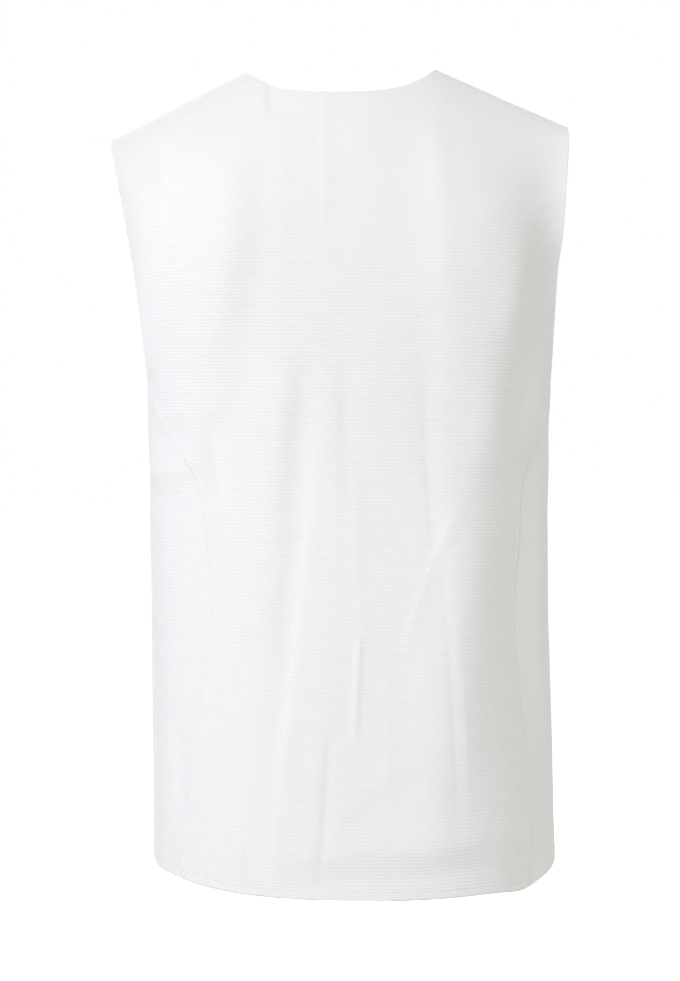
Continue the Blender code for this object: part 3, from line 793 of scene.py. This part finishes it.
def add_piece(name, mesh, material):
    """Makes a smooth object of a mesh, in one material."""
    mesh.shade_smooth()
    mesh.materials.append(material)
    piece = bpy.data.objects.new(name, mesh)
    bpy.context.scene.collection.objects.link(piece)
    return piece


def add_mesh(name, vertices, faces, lengths, material):
    """Makes a piece whose UV map holds the cloth's own lengths, in metres."""
    mesh = bpy.data.meshes.new(name)
    mesh.from_pydata(vertices.tolist(), [], faces.tolist())
    layer = mesh.uv_layers.new(name="cloth")
    layer.data.foreach_set("uv", lengths[faces.reshape(-1)].reshape(-1))
    mesh.validate()
    return add_piece(name, mesh, material)


def sweep(path, across_way, out_way, half_width, half_depth, sides):
    """A closed tube of oval section along a path; half_width and half_depth may change along it."""
    angle = np.arange(sides) * 2.0 * np.pi / sides
    wide = (half_width + np.zeros(len(path)))[:, None, None] * np.cos(angle)[None, :, None]
    deep = (half_depth + np.zeros(len(path)))[:, None, None] * np.sin(angle)[None, :, None]
    rings = path[:, None] + wide * across_way[:, None] + deep * out_way[:, None]
    vertices = np.concatenate([rings.reshape(-1, 3), path[:1], path[-1:]])
    ring = np.arange(len(path) - 1)[:, None] * sides + np.arange(sides)[None, :]
    around = np.arange(len(path) - 1)[:, None] * sides + (np.arange(sides)[None, :] + 1) % sides
    quads = np.stack([ring, around, around + sides, ring + sides], axis=-1).reshape(-1, 4)
    first, last = len(path) * sides, len(path) * sides + 1
    end = (len(path) - 1) * sides
    turn = np.arange(sides)
    start_cap = [(first, (step + 1) % sides, step) for step in turn]
    end_cap = [(last, end + step, end + (step + 1) % sides) for step in turn]
    faces = [tuple(quad) for quad in quads.tolist()] + start_cap + end_cap
    return vertices, faces


def resample(path, ways, spacing):
    """Spreads a path's points evenly at a spacing, with the directions that go with them."""
    run = np.concatenate([[0.0], np.cumsum(np.linalg.norm(np.diff(path, axis=0), axis=-1))])
    even = np.linspace(0.0, run[-1], max(LEAST_SEAM_POINTS, int(run[-1] / spacing)))
    out = []
    for values in (path, *ways):
        out.append(np.stack([np.interp(even, run, values[:, axis]) for axis in range(3)], axis=-1))
    return even, out


def seam_frame(path, outward):
    """Directions across a seam's path and out of the cloth there."""
    ahead = np.gradient(path, axis=0)
    ahead /= np.linalg.norm(ahead, axis=-1, keepdims=True)
    out = outward - (outward * ahead).sum(axis=-1, keepdims=True) * ahead
    out /= np.linalg.norm(out, axis=-1, keepdims=True)
    return np.cross(out, ahead), out


def merge(parts):
    """Joins several lists of vertices and faces into one."""
    vertices, faces, count = [], [], 0
    for points, polygons in parts:
        vertices.append(points)
        faces.extend(tuple(corner + count for corner in face) for face in polygons)
        count += len(points)
    return np.concatenate(vertices), faces


def link_row(path, outward, proud, aside=0.0):
    """The row of stitches that links two edges, over the joint or aside of it."""
    even, (line, out_way) = resample(path, [outward], LINK_SPACING)
    across_way, out_way = seam_frame(line, out_way)
    swell = 1.0 + LINK_SWELL * np.cos(2.0 * np.pi * even / cardigan_settings().course_pitch)
    line = line - (LINK_HALF_DEPTH - proud) * out_way + aside * across_way
    return sweep(line, across_way, out_way, LINK_HALF_WIDTH * swell, LINK_HALF_DEPTH * swell, LINK_SIDES)


def allowance(path, outward):
    """The flat seam allowance on the inside of the cloth."""
    _, (line, out_way) = resample(path, [outward], ALLOWANCE_SPACING)
    across_way, out_way = seam_frame(line, out_way)
    line = line - (cardigan_settings().thickness + ALLOWANCE_HALF_DEPTH) * out_way
    return sweep(line, across_way, out_way, ALLOWANCE_HALF_WIDTH, ALLOWANCE_HALF_DEPTH, ALLOWANCE_SIDES)


def add_seam(name, parts, material):
    """Makes one piece of a seam's rows and allowances."""
    vertices, faces = merge(parts)
    mesh = bpy.data.meshes.new(name)
    mesh.from_pydata(vertices.tolist(), [], faces)
    return add_piece(name, mesh, material)


class NodeChain:
    """Adds shader nodes to a tree in a few words."""

    def __init__(self, tree):
        self.tree = tree

    def feed(self, socket, value):
        """Links a socket to another, or sets its value."""
        if isinstance(value, bpy.types.NodeSocket):
            self.tree.links.new(value, socket)
        else:
            socket.default_value = value

    def math(self, operation, *values):
        """A math node's result."""
        node = self.tree.nodes.new("ShaderNodeMath")
        node.operation = operation
        for socket, value in zip(node.inputs, values):
            self.feed(socket, value)
        return node.outputs[0]

    def noise(self, vector, scale, detail=2.0):
        """A noise texture's grey value."""
        node = self.tree.nodes.new("ShaderNodeTexNoise")
        self.feed(node.inputs["Vector"], vector)
        node.inputs["Scale"].default_value = scale
        node.inputs["Detail"].default_value = detail
        return node.outputs[0]

    def combine(self, *values):
        """A vector from two or three values."""
        node = self.tree.nodes.new("ShaderNodeCombineXYZ")
        for socket, value in zip(node.inputs, values):
            self.feed(socket, value)
        return node.outputs[0]

    def mix(self, share, start, end):
        """A colour at a share of the way from start to end."""
        node = self.tree.nodes.new("ShaderNodeMix")
        node.data_type = "RGBA"
        for label, value in (("Factor", share), ("A", start), ("B", end)):
            self.feed(node.inputs[label], value)
        return node.outputs["Result"]


def knit_group():
    """The knit's stitches: ribs along the courses, crossed by finer wales, from the cloth's own lengths."""
    name = "Knit stitches"
    if name in bpy.data.node_groups:
        return bpy.data.node_groups[name]
    group = bpy.data.node_groups.new(name, "ShaderNodeTree")
    for label, default in (
        ("Course Pitch", 0.003),
        ("Wale Pitch", 0.0016),
        ("Course Depth", 0.0001),
        ("Wale Depth", 0.00004),
        ("Unevenness", 0.0003),
        ("Fade Start", -0.16),
        ("Fade End", -0.07),
    ):
        socket = group.interface.new_socket(label, in_out="INPUT", socket_type="NodeSocketFloat")
        socket.default_value = default
    # Height is the stitches' relief, for the bump; Valley is where shade is painted into the colour,
    # between the ribs and the stitches
    for label in ("Height", "Valley"):
        group.interface.new_socket(label, in_out="OUTPUT", socket_type="NodeSocketFloat")
    chain = NodeChain(group)
    given = group.nodes.new("NodeGroupInput").outputs
    result = group.nodes.new("NodeGroupOutput").inputs
    uv = group.nodes.new("ShaderNodeUVMap")
    uv.uv_map = "cloth"
    split = group.nodes.new("ShaderNodeSeparateXYZ")
    group.links.new(uv.outputs[0], split.inputs[0])
    across, height = split.outputs[0], split.outputs[1]

    # Courses and wales wander a little
    drift = chain.math("SUBTRACT", chain.noise(uv.outputs[0], COURSE_DRIFT_SCALE), 0.5)
    height = chain.math("MULTIPLY_ADD", drift, given["Unevenness"], height)
    drift = chain.math("SUBTRACT", chain.noise(uv.outputs[0], WALE_DRIFT_SCALE), 0.5)
    across = chain.math("MULTIPLY_ADD", drift, given["Unevenness"], across)

    # A rib on each course, and stitches along it, half a stitch over on every other course
    course = chain.math("DIVIDE", height, given["Course Pitch"])
    turn = chain.math("MULTIPLY", course, 2.0 * np.pi)
    wave = chain.math("MULTIPLY_ADD", chain.math("COSINE", turn), 0.5, 0.5)
    rib = chain.math("POWER", wave, RIB_SHAPE)
    offset = chain.math("MULTIPLY", chain.math("FLOOR", course), 0.5)
    wale = chain.math("ADD", chain.math("DIVIDE", across, given["Wale Pitch"]), offset)
    stitch = chain.math("ABSOLUTE", chain.math("SINE", chain.math("MULTIPLY", wale, np.pi)))

    # The ribs are shallower over the yoke
    fade = chain.math("SUBTRACT", given["Fade End"], split.outputs[1])
    fade = chain.math("DIVIDE", fade, chain.math("SUBTRACT", given["Fade End"], given["Fade Start"]))
    fade = chain.math("MINIMUM", chain.math("MAXIMUM", fade, 0.0), 1.0)
    fade = chain.math("MULTIPLY_ADD", fade, 1.0 - YOKE_RIB_SHARE, YOKE_RIB_SHARE)

    # They are deeper in some stretches than in others
    streak_across = chain.math("MULTIPLY", across, STREAK_SCALE_ACROSS)
    streak_up = chain.math("MULTIPLY", course, STREAK_SCALE_UP)
    streak = chain.noise(chain.combine(streak_across, streak_up), 1.0)
    streak = chain.math("MULTIPLY_ADD", streak, STREAK_GAIN, STREAK_LEAST)
    depth = chain.math("MULTIPLY", given["Course Depth"], streak)

    ribs = chain.math("MULTIPLY", chain.math("MULTIPLY", rib, depth), fade)
    wales = chain.math("MULTIPLY", chain.math("MULTIPLY", stitch, rib), given["Wale Depth"])
    group.links.new(chain.math("ADD", ribs, wales), result["Height"])
    # Painted shade: the colour is darkest between the ribs, and part of that shade falls between the
    # stitches along each rib
    crown = chain.math("MULTIPLY_ADD", stitch, STITCH_SHADE, 1.0 - STITCH_SHADE)
    painted_shade_mask = chain.math("SUBTRACT", 1.0, chain.math("MULTIPLY", rib, crown))
    group.links.new(painted_shade_mask, result["Valley"])
    return group


def knit_material(name, rib_depth, valley_shade):
    """White yarn in a knit: bump from the stitches, shade painted into its colour between the ribs and
    stitches, and a soft fuzz.
    """
    settings = cardigan_settings()
    material = bpy.data.materials.new(name)
    material.use_nodes = True
    tree = material.node_tree
    chain = NodeChain(tree)
    shader = tree.nodes["Principled BSDF"]
    knit = tree.nodes.new("ShaderNodeGroup")
    knit.node_tree = knit_group()
    for label, value in (
        ("Course Pitch", settings.course_pitch),
        ("Wale Pitch", settings.wale_pitch),
        ("Course Depth", rib_depth),
        ("Wale Depth", settings.wale_depth),
    ):
        knit.inputs[label].default_value = value
    # The yarn's own colour on the ribs, and painted shade between them
    crown_colour = (*settings.yarn_colour, 1.0)
    painted_shade_colour = (*[valley_shade * part for part in settings.yarn_colour], 1.0)
    colour = chain.mix(knit.outputs["Valley"], crown_colour, painted_shade_colour)
    tree.links.new(colour, shader.inputs["Base Color"])
    place = tree.nodes.new("ShaderNodeTexCoord").outputs["Object"]
    fuzz = chain.noise(place, FUZZ_SCALE, FUZZ_DETAIL)
    height = chain.math("MULTIPLY_ADD", fuzz, FUZZ_HEIGHT, knit.outputs["Height"])
    bump = tree.nodes.new("ShaderNodeBump")
    for label in ("Strength", "Distance"):
        bump.inputs[label].default_value = 1.0  # the height is in metres already
    tree.links.new(height, bump.inputs["Height"])
    tree.links.new(bump.outputs["Normal"], shader.inputs["Normal"])
    shader.inputs["Roughness"].default_value = settings.roughness
    shader.inputs["Specular IOR Level"].default_value = YARN_SPECULAR
    shader.inputs["Sheen Weight"].default_value = settings.fuzz
    shader.inputs["Sheen Roughness"].default_value = SHEEN_ROUGHNESS
    return material


def shared_material(name, make):
    """A material that several pieces use, made once."""
    return bpy.data.materials.get(name) or make(name)


def panel_knit(name):
    """The ribbed double knit of the panels."""
    settings = cardigan_settings()
    return knit_material(name, settings.rib_depth, settings.valley_shade)


def welt_knit(name):
    """The smooth, close knit of the welts and seams."""
    return knit_material(name, WELT_RIB_SHARE * cardigan_settings().rib_depth, WELT_VALLEY_SHADE)


class CardiganSettings(bpy.types.PropertyGroup):
    """Sizes, yarn, light and camera of the cardigan."""

    thickness: FloatProperty(
        name="Cloth thickness",
        description="Thickness of the double knit",
        default=0.002,
        unit="LENGTH",
        precision=5,
    )
    crease_strength: FloatProperty(
        name="Crease strength", description="Scales the finer creases; 1 is as photographed", default=1.0
    )
    swell_rise: FloatProperty(
        name="Unevenness",
        description="How far the cloth swells between its creases",
        default=0.00038,
        unit="LENGTH",
        precision=5,
    )
    course_pitch: FloatProperty(
        name="Rib pitch",
        description="Height of one rib of the knit",
        default=0.00295,
        unit="LENGTH",
        precision=5,
    )
    wale_pitch: FloatProperty(
        name="Wale pitch", description="Width of one stitch", default=0.0016, unit="LENGTH", precision=5
    )
    rib_depth: FloatProperty(
        name="Rib depth",
        description="How far the ribs stand out",
        default=0.00010,
        unit="LENGTH",
        precision=5,
    )
    wale_depth: FloatProperty(
        name="Wale depth",
        description="How far single stitches stand out",
        default=0.00008,
        unit="LENGTH",
        precision=5,
    )
    # Painted shade between the ribs
    valley_shade: FloatProperty(
        name="Valley shade",
        description="Lightness between the ribs, as a share of the yarn's",
        default=0.980,
    )
    yarn_colour: FloatVectorProperty(
        name="Yarn colour",
        description="Colour of the white yarn",
        default=YARN[:3],
        subtype="COLOR",
        size=3,
    )
    roughness: FloatProperty(
        name="Roughness", description="Roughness of the yarn", default=0.9, subtype="FACTOR"
    )
    fuzz: FloatProperty(
        name="Fuzz", description="Weight of the soft sheen of fine hairs", default=0.25, subtype="FACTOR"
    )

    floor_height: FloatProperty(
        name="Floor height", description="Height of the studio floor", default=-1.15, unit="LENGTH"
    )
    ambient: FloatProperty(
        name="Ambient light", description="Strength of the light from all round", default=0.53
    )
    ambient_tint: FloatVectorProperty(
        name="Ambient tint",
        description="Colour of the light from the wearer's right",
        default=(1.0, 0.98, 0.90),
        subtype="COLOR",
        size=3,
    )
    ambient_slope: FloatVectorProperty(
        name="Ambient slope",
        description="How much stronger the light from all round is from the plus end of each axis",
        default=(-0.31, 0.06, 0.1),
        size=3,
    )
    key_energy: FloatProperty(
        name="Key light", description="Power of the main light, in watts", default=49.5
    )
    key_tint: FloatVectorProperty(
        name="Key tint",
        description="Colour of the main light and the front light",
        default=(0.918, 0.918, 1.0),
        subtype="COLOR",
        size=3,
    )
    front_energy: FloatProperty(
        name="Front light", description="Power of the light on the fronts, in watts", default=40.0
    )

    camera_distance: FloatProperty(
        name="Camera distance",
        description="From the shoulders' plane to the camera",
        default=2.0,
        unit="LENGTH",
    )
    camera_height: FloatProperty(
        name="Camera height",
        description="Height of the camera over the origin",
        default=-0.2959,
        unit="LENGTH",
    )
    camera_aside: FloatProperty(
        name="Camera aside",
        description="How far the camera stands to the picture's right",
        default=-0.0072,
        unit="LENGTH",
    )
    camera_yaw: FloatProperty(
        name="Camera yaw",
        description="How far the camera has gone round towards the wearer's left",
        default=np.radians(1.0),
        subtype="ANGLE",
    )
    camera_tilt: FloatProperty(
        name="Camera tilt",
        description="How far the camera looks down",
        default=np.radians(1.9265),
        subtype="ANGLE",
    )
    camera_roll: FloatProperty(
        name="Camera roll",
        description="How far the camera leans to the right",
        default=np.radians(1.0692),
        subtype="ANGLE",
    )
    camera_lens: FloatProperty(
        name="Focal length",
        description="Focal length on a 36 mm high frame, in millimetres",
        default=84.255,
    )


class KnitOperator(bpy.types.Operator):
    """What the operators that build the garment share."""

    bl_options = {"REGISTER", "UNDO"}

    def dress(self, piece, node, slot):
        """Ties a piece to the garment's body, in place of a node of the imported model."""
        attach(piece, "root")
        if node:
            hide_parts(node)


class KNITWEAR_OT_back(KnitOperator):
    """Build the back panel with its creases"""

    bl_idname = "knitwear.back"
    bl_label = "Back"

    def execute(self, context):
        back = add_shell("knit_back", back_cloth(), shared_material("white double knit", panel_knit))
        self.dress(back, "back", "white_knit")
        return {"FINISHED"}


class KNITWEAR_OT_fronts(KnitOperator):
    """Build the two fronts with the V neck"""

    bl_idname = "knitwear.fronts"
    bl_label = "Fronts"

    def execute(self, context):
        yarn = shared_material("white double knit", panel_knit)
        for side, name in ((1, "left_front"), (-1, "right_front")):
            front = add_shell("knit_" + name, front_cloth(side), yarn)
            self.dress(front, name, "white_knit")
        return {"FINISHED"}


class KNITWEAR_OT_welts(KnitOperator):
    """Build the hem welts below the panels"""

    bl_idname = "knitwear.welts"
    bl_label = "Hem welts"

    def execute(self, context):
        yarn = shared_material("white welt knit", welt_knit)
        for side, name in ((0, "back_hem_welt"), (1, "left_front_hem_welt"), (-1, "right_front_hem_welt")):
            cloth = welt_cloth(side)
            welt = add_shell("knit_" + name, cloth, yarn)
            self.dress(welt, name, "white_welt")
        return {"FINISHED"}


class KNITWEAR_OT_seams(KnitOperator):
    """Build the linked side, shoulder and hem seams"""

    bl_idname = "knitwear.seams"
    bl_label = "Seams"

    def execute(self, context):
        back = back_cloth()
        body_rows = BODY_ROWS * FINE_BODY_ROWS + 1
        yarn = shared_material("white welt knit", welt_knit)
        self.hem_seam("back", back, yarn)
        sides = ((1, "left", -1, LEFT_SEAM_ASIDE), (-1, "right", 0, RIGHT_SEAM_ASIDE))
        for side, name, edge, aside in sides:
            front = front_cloth(side)
            self.hem_seam(name + "_front", front, yarn)
            path = 0.5 * (back.outer[:body_rows, edge] + front.outer[:body_rows, 0])
            out = (back.outer - back.inner)[:body_rows, edge] + (front.outer - front.inner)[:body_rows, 0]
            parts = [link_row(path, out, SIDE_SEAM_PROUD, -side * aside), allowance(path, out)]
            self.dress(add_seam(name + "_side_seam", parts, yarn), None, "white_welt")
            path = front.outer[-1, ::-1]
            out = np.array([[0.0, 0.0, 1.0]]) + np.zeros_like(path)
            parts = [link_row(path, out, 0.0), allowance(path, out)]
            self.dress(add_seam(name + "_shoulder_seam", parts, yarn), None, "white_welt")
        return {"FINISHED"}

    def hem_seam(self, name, cloth, yarn):
        """Links a panel's lower edge to its welt."""
        path = cloth.outer[0] + 0.5 * SEAM_GAP * edge_down(cloth.outer)
        out = cloth.outer[0] - cloth.inner[0]
        seam = add_seam(name + "_hem_seam", [link_row(path, out, HEM_SEAM_PROUD)], yarn)
        self.dress(seam, None, "white_welt")


def edge_down(points):
    """Unit directions down off a grid's lower edge, in its own surface."""
    down = points[0] - points[1]
    return down / np.linalg.norm(down, axis=-1, keepdims=True)


def camera_matrix(settings):
    """Where the camera stands and how it is turned."""
    yaw, tilt, roll = settings.camera_yaw, settings.camera_tilt, settings.camera_roll
    look = np.array([-np.sin(yaw), -np.cos(yaw), 0.0])
    right = np.array([-np.cos(yaw), np.sin(yaw), 0.0])
    up = np.array([0.0, 0.0, 1.0])
    eye = -settings.camera_distance * look + settings.camera_height * up + settings.camera_aside * right
    ahead = look * np.cos(tilt) - up * np.sin(tilt)
    above = np.cross(right, ahead)
    right_rolled = right * np.cos(roll) - above * np.sin(roll)
    above_rolled = right * np.sin(roll) + above * np.cos(roll)
    matrix = Matrix.Identity(4)
    for column, axis in enumerate((right_rolled, above_rolled, -ahead, eye)):
        for row in range(3):
            matrix[row][column] = axis[row]
    return matrix


def add_camera(settings):
    """Makes the camera at the photograph's viewing angle."""
    data = bpy.data.cameras.new("studio_camera")
    data.sensor_fit = "VERTICAL"
    data.sensor_width = data.sensor_height = FRAME_SIDE
    data.lens = settings.camera_lens
    data.clip_end = CAMERA_CLIP_END
    camera = bpy.data.objects.new("studio_camera", data)
    camera.matrix_world = camera_matrix(settings)
    bpy.context.scene.collection.objects.link(camera)
    bpy.context.scene.camera = camera


def add_area_light(name, azimuth, elevation, energy, tint):
    """Makes a square soft light that shines at the middle of the garment.

    azimuth is in degrees from straight behind the wearer, towards their left, and elevation in degrees up.
    """
    data = bpy.data.lights.new(name, "AREA")
    data.shape = "SQUARE"
    data.size = LIGHT_SIZE
    data.energy = energy
    data.color = tint
    light = bpy.data.objects.new(name, data)
    turn, rise = np.radians(azimuth), np.radians(elevation)
    towards = Vector((np.cos(rise) * np.sin(turn), np.cos(rise) * np.cos(turn), np.sin(rise)))
    light.location = MIDDLE + LIGHT_DISTANCE * towards
    light.rotation_euler = towards.to_track_quat("Z", "Y").to_euler()
    bpy.context.scene.collection.objects.link(light)


def add_floor(settings):
    """Makes a large pale floor that reads as white as the room behind it."""
    centre = (0.0, 0.0, settings.floor_height)
    bpy.ops.mesh.primitive_circle_add(
        vertices=FLOOR_SIDES, radius=FLOOR_RADIUS, fill_type="NGON", location=centre
    )
    floor = bpy.context.active_object
    floor.name = "studio_floor"
    material = bpy.data.materials.new("pale floor")
    material.use_nodes = True
    tree = material.node_tree
    shader = tree.nodes["Principled BSDF"]
    shader.inputs["Base Color"].default_value = FLOOR_COLOUR
    shader.inputs["Roughness"].default_value = FLOOR_ROUGHNESS
    glow = tree.nodes.new("ShaderNodeEmission")
    glow.inputs["Color"].default_value = WHITE
    seen = tree.nodes.new("ShaderNodeLightPath")
    strength = NodeChain(tree).math("MULTIPLY", seen.outputs["Is Camera Ray"], FLOOR_GLOW)
    tree.links.new(strength, glow.inputs["Strength"])
    both = tree.nodes.new("ShaderNodeAddShader")
    tree.links.new(shader.outputs[0], both.inputs[0])
    tree.links.new(glow.outputs[0], both.inputs[1])
    tree.links.new(both.outputs[0], tree.nodes["Material Output"].inputs["Surface"])
    floor.data.materials.append(material)


def light_room(settings):
    """Lights the garment from all round, more from the wearer's right, and shows the room white."""
    world = bpy.data.worlds.new("white room")
    world.use_nodes = True
    tree = world.node_tree
    background = tree.nodes["Background"]
    seen = tree.nodes.new("ShaderNodeLightPath").outputs["Is Camera Ray"]
    chain = NodeChain(tree)
    direction = tree.nodes.new("ShaderNodeTexCoord").outputs["Generated"]
    slope = tree.nodes.new("ShaderNodeVectorMath")
    slope.operation = "DOT_PRODUCT"
    tree.links.new(direction, slope.inputs[0])
    slope.inputs[1].default_value = settings.ambient_slope
    ambient = chain.math("ADD", slope.outputs["Value"], settings.ambient)
    strength = chain.math("MULTIPLY_ADD", seen, chain.math("SUBTRACT", 1.0, ambient), ambient)
    tree.links.new(strength, background.inputs["Strength"])
    side = tree.nodes.new("ShaderNodeSeparateXYZ")
    tree.links.new(direction, side.inputs[0])
    from_right = chain.math("MAXIMUM", chain.math("MULTIPLY", side.outputs[0], -1.0), 0.0)
    share = chain.math("MULTIPLY", from_right, chain.math("SUBTRACT", 1.0, seen))
    tint = chain.mix(share, WHITE, (*settings.ambient_tint, 1.0))
    tree.links.new(tint, background.inputs["Color"])
    bpy.context.scene.world = world


class KNITWEAR_OT_stage(bpy.types.Operator):
    """Build the pale floor, the soft lights and the camera"""

    bl_idname = "knitwear.stage"
    bl_label = "Studio"

    def execute(self, context):
        settings = cardigan_settings()
        tint = settings.key_tint
        add_floor(settings)
        light_room(settings)
        add_area_light("key_light", *KEY_LIGHT_PLACE, settings.key_energy, tint)
        add_area_light("front_light", *FRONT_LIGHT_PLACE, settings.front_energy, tint)
        add_camera(settings)
        context.scene.view_settings.view_transform = "Standard"
        return {"FINISHED"}


class KNITWEAR_PT_cardigan(bpy.types.Panel):
    """The cardigan's settings and the steps that build it"""

    bl_label = "Sleeveless cardigan"
    bl_space_type = "VIEW_3D"
    bl_region_type = "UI"
    bl_category = "Knitwear"

    def draw(self, context):
        for operator in BUILD_ORDER:
            self.layout.operator(operator.bl_idname)
        for name in CardiganSettings.__annotations__:
            self.layout.prop(context.scene.knit_cardigan, name)


BUILD_ORDER = (
    KNITWEAR_OT_back,
    KNITWEAR_OT_fronts,
    KNITWEAR_OT_welts,
    KNITWEAR_OT_seams,
    KNITWEAR_OT_stage,
)


def register():
    """Registers the classes and the scene's settings."""
    for part in (CardiganSettings, *BUILD_ORDER, KNITWEAR_PT_cardigan):
        bpy.utils.register_class(part)
    bpy.types.Scene.knit_cardigan = PointerProperty(type=CardiganSettings)


def unregister():
    """Removes the classes and the scene's settings."""
    del bpy.types.Scene.knit_cardigan
    for part in (KNITWEAR_PT_cardigan, *reversed(BUILD_ORDER), CardiganSettings):
        bpy.utils.unregister_class(part)


def main():
    """Builds every piece and the studio."""
    register()
    bpy.ops.knitwear.back()
    bpy.ops.knitwear.fronts()
    bpy.ops.knitwear.welts()
    bpy.ops.knitwear.seams()
    bpy.ops.knitwear.stage()


if __name__ == "__main__":
    main()
